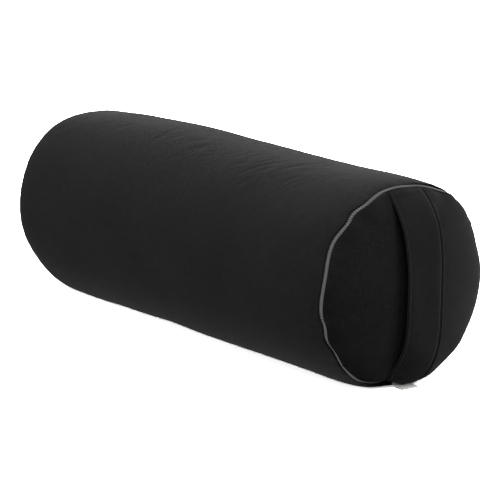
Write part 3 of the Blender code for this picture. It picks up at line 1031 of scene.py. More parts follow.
    def strap_bed(self, y: Array, z: Array) -> Array:
        """How far the end panel stands out behind the strap, beyond its plain dome."""
        hollow = smooth_share(y, *self.hollow_rise) * (1 - smooth_share(y, *self.hollow_fall))
        swell = smooth_share(y, *self.swell_rise) * (1 - smooth_share(y, *self.swell_fall))
        inner = 1 - smooth_share(np.abs(z), *self.bed_ends)
        return (self.bed_swell * swell - self.bed_hollow * hollow) * inner

    def front_surface(self, y: Array, z: Array) -> Array:
        """How far the end panel stands out from the zip's plane.

        Args:
            y: across the end.
            z: height from the end's centre.

        Returns:
            The distance towards +X at each place.
        """
        end = self.front
        angle, away = np.arctan2(z, y), np.hypot(y, z)
        lift, wave = self.rim_lift(angle, SeamEdge.PANEL), self.edge_shift(angle, SeamEdge.PANEL)
        rim = end.radius_at(self.groove)
        radius = away
        for _ in range(4):
            radius = np.clip(away - lift * np.exp((radius - rim) / self.lift_fade), 0, rim)
        return end.out(radius) + wave * np.exp((radius - rim) / self.wave_fade) + self.strap_bed(y, z)

    def zip_point(self, angle: Array, across: float, radius: float) -> Array:
        """Places along the zip.

        Args:
            angle: round the zip.
            across: from its centre line, positive towards the end panel.
            radius: from the zip's axis.

        Returns:
            One point for each angle.
        """
        lifted = radius + self.rim_lift(angle, SeamEdge.COIL)
        x = self.datum.zip_x + across + self.zip_wave(angle)
        return ring_points(x, lifted, self.datum.end_z, angle)


def around(columns: int) -> Array:
    """Evenly spaced angles round the bolster, from the floor."""
    return -math.pi / 2 + np.arange(columns) * TURN / columns


def spaced_towards(start: float, end: float, fine: float, coarse: float, reach: float) -> Array:
    """Places from start to end, finer within reach of both ends."""
    places = [start]
    while places[-1] < end:
        near = min(places[-1] - start, end - places[-1])
        places.append(places[-1] + fine + (coarse - fine) * float(smooth_share(near, 0, reach)))
    placed = np.array(places)
    return start + (placed - start) * (end - start) / (placed[-1] - start)


@dataclass
class Gathers:
    """Short folds that run from a seam into the cloth, where more cloth is sewn to less."""

    number: int  # folds round the seam
    depth: float
    reach: float
    seed: float

    def relief(self, angle: Array, away: Array) -> Array:
        """How far the cloth lies below its smooth form.

        Args:
            angle: round the bolster.
            away: distance from the seam.

        Returns:
            A lift for each point, which is negative in the folds.
        """
        cosine, sine = np.cos(angle), np.sin(angle)
        drift = soft_noise(cosine * 2.2, sine * 2.2, away * 12, seed=self.seed)
        phase = angle * self.number / 2 + 3.0 * drift
        puff = np.abs(np.sin(phase)) ** 0.7 - 0.75
        strength = 0.65 + 0.6 * soft_noise(cosine * 3.1, sine * 3.1, seed=self.seed + 9)
        reach = self.reach * (1 + 0.4 * soft_noise(cosine * 7, sine * 7, seed=self.seed + 4))
        rise = smooth_share(away, 0, 2.5 * MM) * 0.6 + 0.4
        return self.depth * puff * np.clip(strength, 0.15, 1.3) * rise * np.exp(-away / reach)


@dataclass(frozen=True)
class Settling:
    """Lets a sheet of cloth settle over its filling by simulation, held at its seams."""

    pressure: float = 4.0
    frames: int = 20
    quality: int = 6  # steps in each frame
    weight: float = 0.3  # of each point of the cloth, in kg
    stiffness: float = 4.0  # against bending
    step: int = 2  # the simulated cloth keeps one row and one column in this many
    hold: float = 0.1  # how firmly the filling holds the cloth between its seams
    most: float = 6 * MM  # how far any point may move

    def drape(self, start: Array, free: Array, held: Array) -> Array:
        """Runs the simulation.

        Args:
            start: rows, columns, 3: the cloth drawn in at its seams.
            free: the same cloth as it was cut, not drawn in.
            held: how firmly each row is held.

        Returns:
            Where the cloth settles, in the shape of the start.
        """
        rows, columns = start.shape[:2]
        faces = [
            (row * columns + column, row * columns + (column + 1) % columns,
             (row + 1) * columns + (column + 1) % columns, (row + 1) * columns + column)
            for row in range(rows - 1) for column in range(columns)
        ]
        mesh = bpy.data.meshes.new("settling")
        mesh.from_pydata([tuple(p) for p in start.reshape(-1, 3)], [], faces)
        sheet = add_object("settling", mesh)
        scene = bpy.context.scene
        sheet.shape_key_add(name="drawn_in")
        cut = sheet.shape_key_add(name="cut")
        cut.data.foreach_set("co", free.reshape(-1).astype(np.float32))
        cut.value = 0
        group = sheet.vertex_groups.new(name="held")
        for row in range(rows):
            group.add(list(range(row * columns, (row + 1) * columns)), float(held[row]), "REPLACE")
        cloth = sheet.modifiers.new("Cloth", "CLOTH")
        settings = cloth.settings
        settings.quality = self.quality
        settings.mass = self.weight
        settings.bending_stiffness = self.stiffness
        settings.vertex_group_mass = group.name
        settings.rest_shape_key = cut
        settings.use_pressure = True
        settings.uniform_pressure_force = self.pressure
        settings.effector_weights.gravity = 0
        cloth.point_cache.frame_end = self.frames
        for frame in range(1, self.frames + 1):
            scene.frame_set(frame)
        seen = sheet.evaluated_get(bpy.context.evaluated_depsgraph_get()).to_mesh()
        places = np.empty(rows * columns * 3, np.float32)
        seen.vertices.foreach_get("co", places)
        bpy.data.objects.remove(sheet, do_unlink=True)
        scene.frame_set(1)
        return places.reshape(rows, columns, 3).astype(float)

    def settled(self, sheet: ClothGrid, free: Array, pinned: tuple[bool, bool]) -> ClothGrid:
        """Settles a coarse copy of a sheet and gives the movement to the whole of it.

        Args:
            sheet: the cloth in its smooth form.
            free: each of its points on the cloth as cut.
            pinned: whether the first and the last row are sewn.

        Returns:
            The settled cloth.
        """
        rows = np.arange(0, len(sheet.points), self.step)
        rows = rows[[not ClothGrid.is_pole(sheet.points[row]) for row in rows]]
        held = np.full(len(rows), self.hold)
        for row, sewn in zip((0, -1), pinned):
            if sewn:
                held[row] = 1
        columns = sheet.points.shape[1]
        start = sheet.points[rows][:, ::self.step]
        moved = self.drape(start, free[rows][:, ::self.step], held) - start
        far = np.linalg.norm(moved, axis=2, keepdims=True)
        moved *= np.minimum(1, self.most / np.maximum(far, 1e-9))
        at = np.arange(columns) / self.step
        low = np.floor(at).astype(int)
        share = (at - low)[None, :, None]
        wide = moved[:, low] * (1 - share) + moved[:, (low + 1) % moved.shape[1]] * share
        whole = np.empty_like(sheet.points)
        every = np.arange(len(sheet.points))
        for axis in range(3):
            for column in range(columns):
                whole[:, column, axis] = np.interp(every, rows, wide[:, column, axis])
        for _ in range(2):
            whole = 0.5 * whole + 0.25 * (np.roll(whole, 1, axis=1) + np.roll(whole, -1, axis=1))
            whole[1:-1] = 0.5 * whole[1:-1] + 0.25 * (whole[2:] + whole[:-2])
        for row in (0, -1):
            if ClothGrid.is_pole(sheet.points[row]):
                whole[row] = whole[row].mean(axis=0)
        LOG.info("settled by up to %.1f mm", float(np.linalg.norm(whole, axis=2).max() / MM))
        return ClothGrid(sheet.points + whole, sheet.cut)


@dataclass
class BodyCover:
    """The tube of canvas round the filling."""

    shape: CoverShape
    settling: Settling = Settling()
    columns: int = 320
    hem: float = 1.4 * MM
    twist: float = math.radians(1.5)  # between its two seams
    spare: float = 1.004  # how much longer it is cut than the filling
    front_gathers: Gathers = field(default_factory=lambda: Gathers(52, 0.6 * MM, 13 * MM, 3.0))
    back_gathers: Gathers = field(default_factory=lambda: Gathers(40, 0.8 * MM, 24 * MM, 17.0))
    drag_height: float = 0.8 * MM  # the fine folds that run slantwise over the top
    drag_lean: float = math.radians(48)  # of these folds, from the tube's axis
    drag_grain: tuple[float, float] = (32 * MM, 10.5 * MM)  # along one fold and across it
    drag_patch: tuple[float, float] = (60 * MM, 50 * MM)  # places where they are strong or faint
    drag_zone: RimLift = RimLift(92, 42, 1.0)  # where round the tube they lie, as a share
    crease: Bulge = Bulge(-96 * MM, 108, 2.2 * MM, 9, -0.7 * MM)  # one short dent across the top
    swell_height: float = 0.5 * MM  # the broad unevenness of the filling
    swell_grain: float = 90 * MM

    def sheet(self) -> ClothGrid:
        """The outer face of the cloth."""
        shape = self.shape
        start, end = shape.back.seam_x + self.hem / 2, shape.cloth_front
        xs = spaced_towards(start, end, 0.9 * MM, 3.2 * MM, 50 * MM)
        x, theta = np.meshgrid(xs, around(self.columns), indexing="ij")
        radius, height = shape.section(x, theta)
        edge = end - x
        lift = shape.rim_lift(theta, SeamEdge.BODY)
        radius = radius + lift * np.exp(-edge / np.where(lift < -2 * MM, 5 * MM, 14 * MM))
        shifted = x + shape.edge_shift(theta, SeamEdge.BODY) * np.exp(-edge / shape.wave_fade)
        points = ring_points(shifted, radius, height, theta)
        turns = np.arange(self.columns + 1) * TURN / self.columns * shape.datum.radius
        turned = theta + self.twist * (x - start) / (end - start)
        free = ring_points(
            x * self.spare, shape.datum.radius + 0.4 * MM, shape.datum.tube_z, turned
        )
        sheet = self.settling.settled(ClothGrid(points, cut_grid(xs, turns)), free, (True, True))
        return sheet.lifted(self.relief(x, theta)).rested(shape.floor, shape.floor_ease)

    def relief(self, x: Array, theta: Array) -> Array:
        """Every fold and unevenness of the cloth, as a lift at each point."""
        shape = self.shape
        start, end = shape.back.seam_x, shape.cloth_front
        lift = self.front_gathers.relief(theta, end - x)
        lift += self.back_gathers.relief(theta, x - start)
        lift += shape.swell(x, theta)
        cosine, sine = np.cos(theta), np.sin(theta)
        inner = smooth_share(np.minimum(end - x, x - start), 4 * MM, 50 * MM)
        lift += self.swell_height * inner * soft_noise(
            x / self.swell_grain, cosine * 1.6, sine * 1.6, seed=31
        )
        arc = theta * shape.datum.radius
        along = x * math.cos(self.drag_lean) - arc * math.sin(self.drag_lean)
        beside = x * math.sin(self.drag_lean) + arc * math.cos(self.drag_lean)
        drag = soft_noise(along / self.drag_grain[0], beside / self.drag_grain[1], seed=51)
        patchy = soft_noise(x / self.drag_patch[0], arc / self.drag_patch[1], seed=57)
        strength = np.clip(0.45 + 1.3 * patchy, 0.1, 1) * self.drag_zone.at(theta)
        lift += self.drag_height * inner * strength * (0.4 - 1.6 * np.abs(drag))
        return lift + self.crease.at(x, theta)

    def build(self, finishes: Finishes) -> Object:
        """Makes the piece and gives it to the cover."""
        mesh = self.sheet().shell("cover_body", self.hem)
        piece = link_piece("cover_body_cloth", mesh, finishes.canvas)
        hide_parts("cover_body_panel")
        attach(piece, "cover")
        return piece


@dataclass
class EndPanel:
    """A round panel of canvas, domed over the filling."""

    shape: CoverShape
    end: DomedEnd
    edge_out: float  # how far the dome already stands out at its edge
    gathers: Gathers
    settling: Settling = Settling()
    spare: float = 1.02  # how much wider the panel is cut than its seam
    columns: int = 320
    rings: int = 64
    hem: float = 1.4 * MM

    @property
    def at_zip(self) -> bool:
        """Tells whether this is the panel that the zip opens."""
        return self.end.side > 0

    def sheet(self) -> ClothGrid:
        """The outer face of the panel, with its rows in order towards +X."""
        end, shape = self.end, self.shape
        first = end.radius_at(self.edge_out)
        radii = first * np.cos(np.linspace(0, 1, self.rings) ** 1.15 * math.pi / 2)
        radii[-1] = 0
        angle = around(self.columns)
        radius, theta = np.meshgrid(radii, angle, indexing="ij")
        edge = first - radius
        wave, lift = np.zeros_like(theta), np.zeros_like(theta)
        if self.at_zip:
            wave = shape.edge_shift(theta, SeamEdge.PANEL) * np.exp(-edge / shape.wave_fade)
            lift = shape.rim_lift(theta, SeamEdge.PANEL) * np.exp(-edge / shape.lift_fade)
        else:
            lift = shape.swell(end.seam_x, theta) * (radius / first) ** 3
        out = end.out(radius) + (0 if self.at_zip else self.hem / 2)
        points = ring_points(end.seam_x + end.side * out + wave, radius + lift, end.height, theta)
        arc = run_along(points[:, 0])
        flat_radius = (arc[-1] - arc)[:, None]
        turns = np.append(angle, angle[0] + TURN)[None, :]
        cut = np.stack([flat_radius * np.cos(turns), flat_radius * np.sin(turns)], axis=-1)
        relief = self.gathers.relief(theta, edge) * smooth_share(radius, 0, 30 * MM)
        relief += 0.7 * MM * soft_noise(points[..., 1] / 0.05, points[..., 2] / 0.05, seed=71 + end.side)
        relief *= smooth_share(radius, 0, 4 * MM)
        if self.at_zip:
            relief += shape.strap_bed(points[..., 1], points[..., 2] - end.height)
        else:
            points, cut, relief = points[::-1], cut[::-1], relief[::-1]
        middle = np.array((0, 0, end.height))
        free = middle + (points - middle) * (1, self.spare, self.spare)
        sheet = self.settling.settled(ClothGrid(points, cut), free, (self.at_zip, not self.at_zip))
        return sheet.lifted(relief).rested(shape.floor, shape.floor_ease)

    def build(self, finishes: Finishes) -> Object:
        """Makes the piece, and gives the back one to the cover."""
        name = "front_end_cloth" if self.at_zip else "back_end_cloth"
        piece = link_piece(name, self.sheet().shell(name, self.hem), finishes.canvas)
        if self.at_zip:
            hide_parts("front_end_panel", "front_end_panel_sewn_side")
            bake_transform(piece)
        else:
            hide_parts("cover_back_end_panel")
            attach(piece, "cover")
        return piece


@dataclass
class CurvedZip:
    """The closed coil zip that runs round the strap end."""

    shape: CoverShape
    repeater: PathRepeater
    pitch: float = 2.8 * MM  # of the loops on one half, drawn coarse enough to show
    filament: float = 0.5 * MM
    loop_width: float = 2.7 * MM
    lean: float = 0.5 * MM  # how far the coil lies towards the end panel
    loop_height: float = 1.1 * MM
    overlap: float = 0.15 * MM  # how far each loop's head crosses the centre line
    coil_radius: float = 107.6 * MM
    tape_radius: float = 105.7 * MM
    tape_thickness: float = 0.6 * MM
    tape_width: float = 12 * MM
    body_range: tuple[float, float] = (math.radians(35), math.radians(325))
    flap_range: tuple[float, float] = (math.radians(42), math.radians(318))

    def loop(self, half: ZipHalf) -> MeshData:
        """One loop of the coil: a flattened ring that leans along the zip."""
        turn = full_turn(10)
        reach = self.loop_width / 2
        middle = (reach - self.overlap) * (-1 if half is ZipHalf.BODY else 1)
        centres = np.column_stack([
            0.22 * self.pitch * np.sin(turn),
            middle + reach * np.cos(turn),
            self.loop_height / 2 * signed_power(np.sin(turn), 0.8),
        ])
        return ring_shape("coil_loop", centres, self.filament, 5)

    def angles(self, half: ZipHalf) -> Array:
        """Angles along one half of the zip, close together."""
        start, end = self.body_range if half is ZipHalf.BODY else self.flap_range
        return np.linspace(start, end, 500)

    def build_coil(self, half: ZipHalf, finishes: Finishes) -> Object:
        """Sets the loops of one half along the zip."""
        angle = self.angles(half)
        if half is ZipHalf.FLAP:
            angle = angle + 0.5 * self.pitch / self.coil_radius
        path = self.shape.zip_point(angle, self.lean, self.coil_radius)
        outwards = ring_points(0, 1, 0, angle)
        name = "zip_loops_" + half.value
        return self.repeater.repeat(name, path, outwards, self.loop(half), self.pitch, finishes.nylon)

    def build_tape(self, half: ZipHalf, finishes: Finishes) -> Object:
        """Sweeps the tape of one half, which lies flat or turns in behind the end panel."""
        angle = self.angles(half)[::2]
        thick = self.tape_thickness / 2
        top, low = self.tape_radius + thick, self.tape_radius - thick
        inset = 0.5 * MM
        if half is ZipHalf.BODY:
            width = -inset - self.tape_width
            outline = [(-inset, low), (-inset, top), (width, top), (width, low)]
        else:
            turn = self.shape.groove + 0.4 * MM
            deep = top - 8 * MM
            outline = [
                (inset, top), (inset, low), (turn - 2 * thick, low),
                (turn - 2 * thick, deep), (turn, deep), (turn, top),
            ]
        rows = np.stack([self.shape.zip_point(angle, x, radius) for x, radius in outline], axis=1)
        cuts = cut_grid(angle * self.tape_radius, run_along(np.array([*outline, outline[0]])))
        name = f"zip_tape_{half.value}_woven"
        return link_piece(name, swept_mesh(name, rows, cuts), finishes.tape)

    def build(self, finishes: Finishes) -> list[Object]:
        """Makes both halves, and gives the body's half to the cover."""
        made = []
        for half in ZipHalf:
            suffix = half.value
            coil = self.build_coil(half, finishes)
            tape = self.build_tape(half, finishes)
            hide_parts("zip_coil_" + suffix)
            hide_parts("zip_tape_" + suffix)
            for piece in (coil, tape):
                if half is ZipHalf.BODY:
                    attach(piece, "cover")
                else:
                    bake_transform(piece)
            made += [coil, tape]
        return made


@dataclass
class CarryStrap:
    """The flat strap of folded canvas, sewn in at the top and the bottom of the strap end."""

    shape: CoverShape
    width: float = 48 * MM
    half_length: float = 130 * MM  # of its cloth, from the middle to a sewn end
    thickness: float = 2.6 * MM
    edge_roll: float = 1.5 * MM  # radius of each rolled edge
    stand: float = 39.8 * MM  # from the zip's centre line to the strap's middle
    end_x: float = 4.4 * MM
    tuck: float = 0.8 * MM  # how far inside the panel's rim it is sewn in
    power: float = 3.6
    skew: float = 0.5  # the edge towards +Y stands out more squarely
    rows: int = 140
    stitch_inset: float = 3.7 * MM
    stitch_pitch: float = 3 * MM
    stitch_length: float = 2.4 * MM
    stitch_thread: float = 0.22 * MM
    stitch_sink: float = 0.9 * MM  # how deep the stitching draws the outer face in

    def reach(self, y: Array, share: Array) -> Array:
        """How far above or below the middle the strap is sewn in."""
        rim = self.shape.front.radius_at(self.shape.groove)
        angle = np.where(share > 0, 1, -1) * np.arccos(y / rim)
        radius = rim + self.shape.rim_lift(angle, SeamEdge.PANEL) - self.tuck
        return np.sqrt(radius**2 - y**2)

    def middle_x(self, y: Array, z: Array, reach: Array) -> Array:
        """How far the strap's middle layer stands out, with z from the end's centre."""
        share = np.minimum(1.0, np.abs(z) / reach)
        power = self.power + self.skew * y / (self.width / 2)
        bow = self.end_x + (self.stand - self.end_x) * (1 - share**power)
        laid = self.thickness * (0.6 - 0.8 * smooth_share(share, 0.95, 1))
        lying = self.shape.front_surface(y, z) + laid
        return 0.5 * (bow + lying + np.hypot(bow - lying, 1.5 * MM * (1 - share)))

    def place(self, y: Array, share: Array, lift: Array | float) -> Array:
        """Points of the strap.

        Args:
            y: across the strap.
            share: along it, from -1 at the bottom to 1 at the top.
            lift: outwards from its middle layer.

        Returns:
            Points in the frame.
        """
        datum = self.shape.datum
        reach = self.reach(y, share)
        z = reach * np.sin(share * math.pi / 2)
        step = 0.4 * MM
        slope = (self.middle_x(y, z + step, reach) - self.middle_x(y, z - step, reach)) / (2 * step)
        norm = np.sqrt(1 + slope**2)
        loose = 1 - share**6
        lift = lift + 0.8 * MM * soft_noise(z / 0.04, y / 0.028, seed=5) * loose
        sway = 0.9 * MM * soft_noise(z / 0.05, 0 * z, seed=8) * loose
        return np.stack([
            datum.zip_x + self.middle_x(y, z, reach) + lift / norm,
            y + sway,
            datum.end_z + z - lift * slope / norm,
        ], axis=-1)

    def sink(self, y: Array) -> Array:
        """How deep the stitching draws the outer face in, most on the edge towards +Y."""
        return self.stitch_sink * np.where(y > 0, 1.0, 0.25)

    def outline(self) -> Array:
        """The cross-section as (across, outwards) pairs, with a roll at each edge."""
        half, roll, web = self.width / 2, self.edge_roll, self.thickness / 2
        row = half - self.stitch_inset
        near = row + MM * np.array([2.1, 1.7, 1.3, 1.0, 0.7, 0.35, 0, -0.35, -0.7, -1.1, -1.8])
        plain = np.linspace(row - 4 * MM, -row + 4 * MM, 11)
        across = np.concatenate([near, plain, -near[::-1]])
        thick = web + (roll - web) * smooth_share(np.abs(across), row + 1.2 * MM, half - roll)
        groove = np.exp(-(((np.abs(across) - row) / (1.3 * MM)) ** 2))
        nose = [
            (half - roll + roll * math.cos(a), roll * math.sin(a))
            for a in np.radians(np.linspace(75, -75, 9))
        ]
        back = list(zip(across, 0.3 * self.sink(across) * groove - thick))
        front = list(zip(-across, thick - self.sink(-across) * groove))
        return np.array(nose + back + [(-y, -z) for y, z in nose] + front)

    def build_half(self, half: StrapHalf, finishes: Finishes) -> Object:
        """Sweeps one half of the strap upwards."""
        ends = (-1, 0) if half is StrapHalf.LOWER else (0, 1)
        shares = np.linspace(*ends, self.rows // 2 + 1)
        outline = self.outline()
        along, y = np.meshgrid(shares, outline[:, 0], indexing="ij")
        rows = self.place(y, along, np.broadcast_to(outline[:, 1], y.shape))
        cuts = cut_grid(shares * self.half_length, run_along(np.vstack([outline, outline[:1]])))
        name = f"carry_strap_{half.name.lower()}"
        return link_piece(name, swept_mesh(name, rows, cuts), finishes.strap)

    def build(self, repeater: PathRepeater, finishes: Finishes) -> list[Object]:
        """Makes both halves, with a row of stitches inside each rolled edge."""
        made = []
        for half in StrapHalf:
            pieces = [self.build_half(half, finishes)]
            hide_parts("handle_strap")
            shares = half.value * np.linspace(0.9, 0.01, 60)
            for side in (-1, 1):
                y = np.full_like(shares, side * (self.width / 2 - self.stitch_inset))
                path = self.place(y, shares, self.thickness / 2 - self.sink(y))
                outwards = self.place(y, shares, self.thickness) - path
                name = f"strap_stitches_{half.name.lower()}_{'right' if side > 0 else 'left'}"
                stitch = stitch_shape(self.stitch_length, self.stitch_thread)
                row = repeater.repeat(name, path, outwards, stitch, self.stitch_pitch, finishes.thread)
                pieces.append(row)
            for piece in pieces:
                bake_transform(piece)
            made += pieces
        return made


@dataclass(frozen=True)
class Oblong:
    """The outline of a rounded oblong, on the slider's own axes."""

    centre: float  # along the zip
    half_length: float
    half_width: float
    power: float = 2.0  # 2 is an ellipse, and more is squarer
    flare: float = 0.0  # how much wider it grows towards its upper end, as a share

    def points(self, side: float = 0.0) -> Array:
        """Its points along and across, moved this far across."""
        turn = full_turn(40)
        along = signed_power(np.cos(turn), 2 / self.power)
        across = signed_power(np.sin(turn), 2 / self.power)
        widths = self.half_width * across * (1 + self.flare * along)
        return np.column_stack([self.centre + self.half_length * along, widths + side])


@dataclass
class ZipSlider:
    """The die-cast slider and its pull, built flat and set where the CAD has them.

    Its own axes are: along the zip towards its upper end, across it, and outwards.
    """

    datum: Datum
    length: float = 11 * MM
    width: float = 8.4 * MM
    plate: float = 0.9 * MM
    top: float = 108.6 * MM  # underside of the upper plate
    under: float = 105.0 * MM  # upper side of the lower plate
    window: Oblong = Oblong(1.5 * MM, 0.5 * MM, 0.5 * MM)  # the hole in each plate
    post: Oblong = Oblong(4 * MM, 1.4 * MM, 0.25 * MM)  # parts the two halves of the zip
    post_core: Oblong = Oblong(4 * MM, 0.3 * MM, 0.05 * MM)
    flange: Oblong = Oblong(-0.4 * MM, 4.6 * MM, 0.35 * MM, 4.0)  # turned down on each side
    flange_core: Oblong = Oblong(-0.4 * MM, 0.4 * MM, 0.1 * MM)
    flange_inset: float = 0.5 * MM
    flange_drop: float = 1.4 * MM
    bridge_reach: float = 3.4 * MM  # from its middle to each foot
    bridge_width: float = 1.6 * MM
    bridge_bar: float = 0.55 * MM
    pull_offset: float = 1.2 * MM
    pull_length: float = 26 * MM
    pull_width: float = 6.4 * MM
    pull_thickness: float = 1.2 * MM
    pull_tilt: float = math.radians(9)  # the pull rests on the plate's edge
    pull_slot: Oblong = Oblong(-3.1 * MM, 2.5 * MM, 1.3 * MM, 4.0)
    grip_outer: Oblong = Oblong(-17 * MM, 6.5 * MM, 2.1 * MM, 3.0)
    grip_inner: Oblong = Oblong(-17 * MM, 5.6 * MM, 1.3 * MM, 3.0)
    grip_rise: float = 0.25 * MM
    weld: float = 0.2 * MM  # how deep one cast part runs into the next

    @property
    def hinge(self) -> float:
        """The pull's hinge line: its distance from the zip's axis."""
        pivot = self.datum.pull_pivot
        return math.hypot(pivot.y, pivot.z - self.datum.end_z)

    def local_frame(self) -> Matrix:
        """Carries the slider's own axes to its place on the zip."""
        angle = self.datum.slider_angle
        turned = Matrix((
            (0, -math.sin(angle), math.cos(angle)),
            (1, 0, 0),
            (0, math.cos(angle), math.sin(angle)),
        )).transposed().to_4x4()
        return Matrix.Translation((self.datum.zip_x, 0, self.datum.end_z)) @ turned

    def ring_plate(self, name: str, outer: Array, inner: Array, low: float, high: float) -> MeshData:
        """A plate between two loops, with every edge rounded off.

        Args:
            name: the mesh's name.
            outer: the plate's outline, as points along and across.
            inner: the outline of its hole, with as many points.
            low: height of its lower face.
            high: height of its upper face.

        Returns:
            The closed mesh.
        """
        ease = 0.22 * MM
        centre = inner.mean(axis=0)

        def loop(outline: Array, shift: float, height: float) -> Array:
            """The outline, moved outwards from the hole's centre, at a height."""
            moved = outline + unit(outline - centre) * shift
            return np.column_stack([moved, np.full(len(outline), height)])

        chain = [
            loop(inner, 0, high - ease), loop(inner, 0, low + ease), loop(inner, ease, low),
            loop(outer, -ease, low), loop(outer, 0, low + ease), loop(outer, 0, high - ease),
            loop(outer, -ease, high), loop(inner, ease, high),
        ]
        cuts = [np.zeros((len(outer) + 1, 2))] * len(chain)
        return chain_mesh(name, chain, cuts)

    def bridge_mesh(self) -> MeshData:
        """The bow over the pull's bar."""
        foot, crown = self.top + self.plate / 2, self.hinge + self.pull_thickness / 2 + 0.45 * MM
        turn = np.linspace(0, math.pi, 17)
        along = self.bridge_reach * signed_power(np.cos(turn), 0.55)
        out = foot + (crown - foot) * np.sin(turn) ** 0.6
        centres = np.column_stack([along, np.zeros_like(along), out])
        beside = np.cross(unit(np.gradient(centres, axis=0)), (0, 1, 0))
        angles = full_turn(10)[None, :, None]
        rows = (
            centres[:, None]
            + signed_power(np.cos(angles), 0.6) * np.array((0, self.bridge_width / 2, 0))
            + signed_power(np.sin(angles), 0.6) * beside[:, None] * self.bridge_bar / 2
        )
        return swept_mesh("bridge", rows, np.zeros((len(rows), 11, 2)))

    def build_slider(self, finishes: Finishes) -> Object:
        """Makes the two plates, the side flanges, the post and the bridge as one piece."""
        outer = Oblong(0, self.length / 2, self.width / 2, 4.0, 0.06).points()
        window = self.window.points()
        pieces = [
            self.ring_plate("upper", outer, window, self.top, self.top + self.plate),
            self.ring_plate("lower", outer, window, self.under - self.plate, self.under),
        ]
        foot, head = self.under - self.weld, self.top + self.weld
        pieces.append(self.ring_plate("post", self.post.points(), self.post_core.points(), foot, head))
        low, high = self.top - self.flange_drop, self.top + self.plate / 2
        for side in (-1, 1):
            across = side * (self.width / 2 - self.flange_inset)
            flange, core = self.flange.points(across), self.flange_core.points(across)
            pieces.append(self.ring_plate("flange", flange, core, low, high))
        pieces.append(self.bridge_mesh())
        return self.assemble("zip_slider_cast", pieces, "zip_slider_body", finishes)

    def build_pull(self, finishes: Finishes) -> Object:
        """Makes the tab, whose bar lies under the bridge."""
        half = self.pull_thickness / 2
        outer = Oblong(-self.pull_length / 2, self.pull_length / 2 + half, self.pull_width / 2, 4.5, -0.1)
        tab = self.ring_plate("tab", outer.points(), self.pull_slot.points(), -half, half)
        grip = self.ring_plate(
            "grip", self.grip_outer.points(), self.grip_inner.points(),
            half - self.weld / 2, half + self.grip_rise,
        )
        lean = Matrix.Rotation(-self.pull_tilt, 4, "Y")
        place = Matrix.Translation((-self.pull_offset, 0, self.hinge)) @ lean
        for mesh in (tab, grip):
            mesh.transform(place)
        return self.assemble("zip_pull_cast", [tab, grip], "zip_pull_tab", finishes)

    def assemble(self, name: str, parts: list[MeshData], node: str, finishes: Finishes) -> Object:
        """Puts the meshes together as one cast piece, which moves with its own CAD body.

        Args:
            name: the piece's name.
            parts: its meshes, on the slider's own axes.
            node: the CAD node that it stands for.
            finishes: the object's materials.

        Returns:
            The piece, in place on the zip.
        """
        bm = bmesh.new()
        for part in parts:
            bm.from_mesh(part)
        whole = bpy.data.meshes.new(name)
        bm.to_mesh(whole)
        bm.free()
        whole.transform(self.local_frame())
        piece = link_piece(name, whole, finishes.lacquer)
        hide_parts(node)
        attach(piece, "zip_slider" if node == "zip_slider_body" else "zip_pull")
        return piece

    def build(self, finishes: Finishes) -> list[Object]:
        """Makes the slider and its pull."""
        return [self.build_slider(finishes), self.build_pull(finishes)]


@dataclass
class EndTacks:
    """A bar of tight stitches across the zip at each of its ends."""

    datum: Datum
    repeater: PathRepeater
    half_width: float = 3.2 * MM
    thread: float = 0.32 * MM
    rise: float = 0.5 * MM
    half_run: float = 1.1 * MM  # of the bar, along the zip
    pitch: float = 1.7  # from one stitch to the next, in threads

    def build(self, node: str, finishes: Finishes) -> Object:
        """Sews one bar where the CAD has it.

        Args:
            node: the CAD node that it stands for.
            finishes: the object's materials.

        Returns:
            The bar.
        """
        low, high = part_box(node)
        middle = (low + high) / 2
        angle = math.atan2(middle.z - self.datum.end_z, middle.y)
        outwards = Vector((0, math.cos(angle), math.sin(angle)))
        travel = Vector((0, -math.sin(angle), math.cos(angle)))
        radius = (middle - Vector((middle.x, 0, self.datum.end_z))).length
        centre = Vector((self.datum.zip_x, 0, self.datum.end_z)) + outwards * radius
        path = [centre + travel * at for at in np.linspace(-self.half_run, self.half_run, 8)]
        turn = full_turn(14)
        wrap = np.column_stack([
            0.25 * self.thread * np.sin(turn),
            self.half_width * signed_power(np.cos(turn), 0.7),
            self.rise * np.sin(turn),
        ])
        name = node.replace("zip_end_tack", "end_tack_stitches")
        shape = ring_shape("tack_loop", wrap, self.thread, 6)
        faces = np.tile(np.array(outwards), (len(path), 1))
        spacing = self.pitch * self.thread
        row = self.repeater.repeat(name, np.array(path), faces, shape, spacing, finishes.thread)
        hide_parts(node)
        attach(row, "cover")
        return row


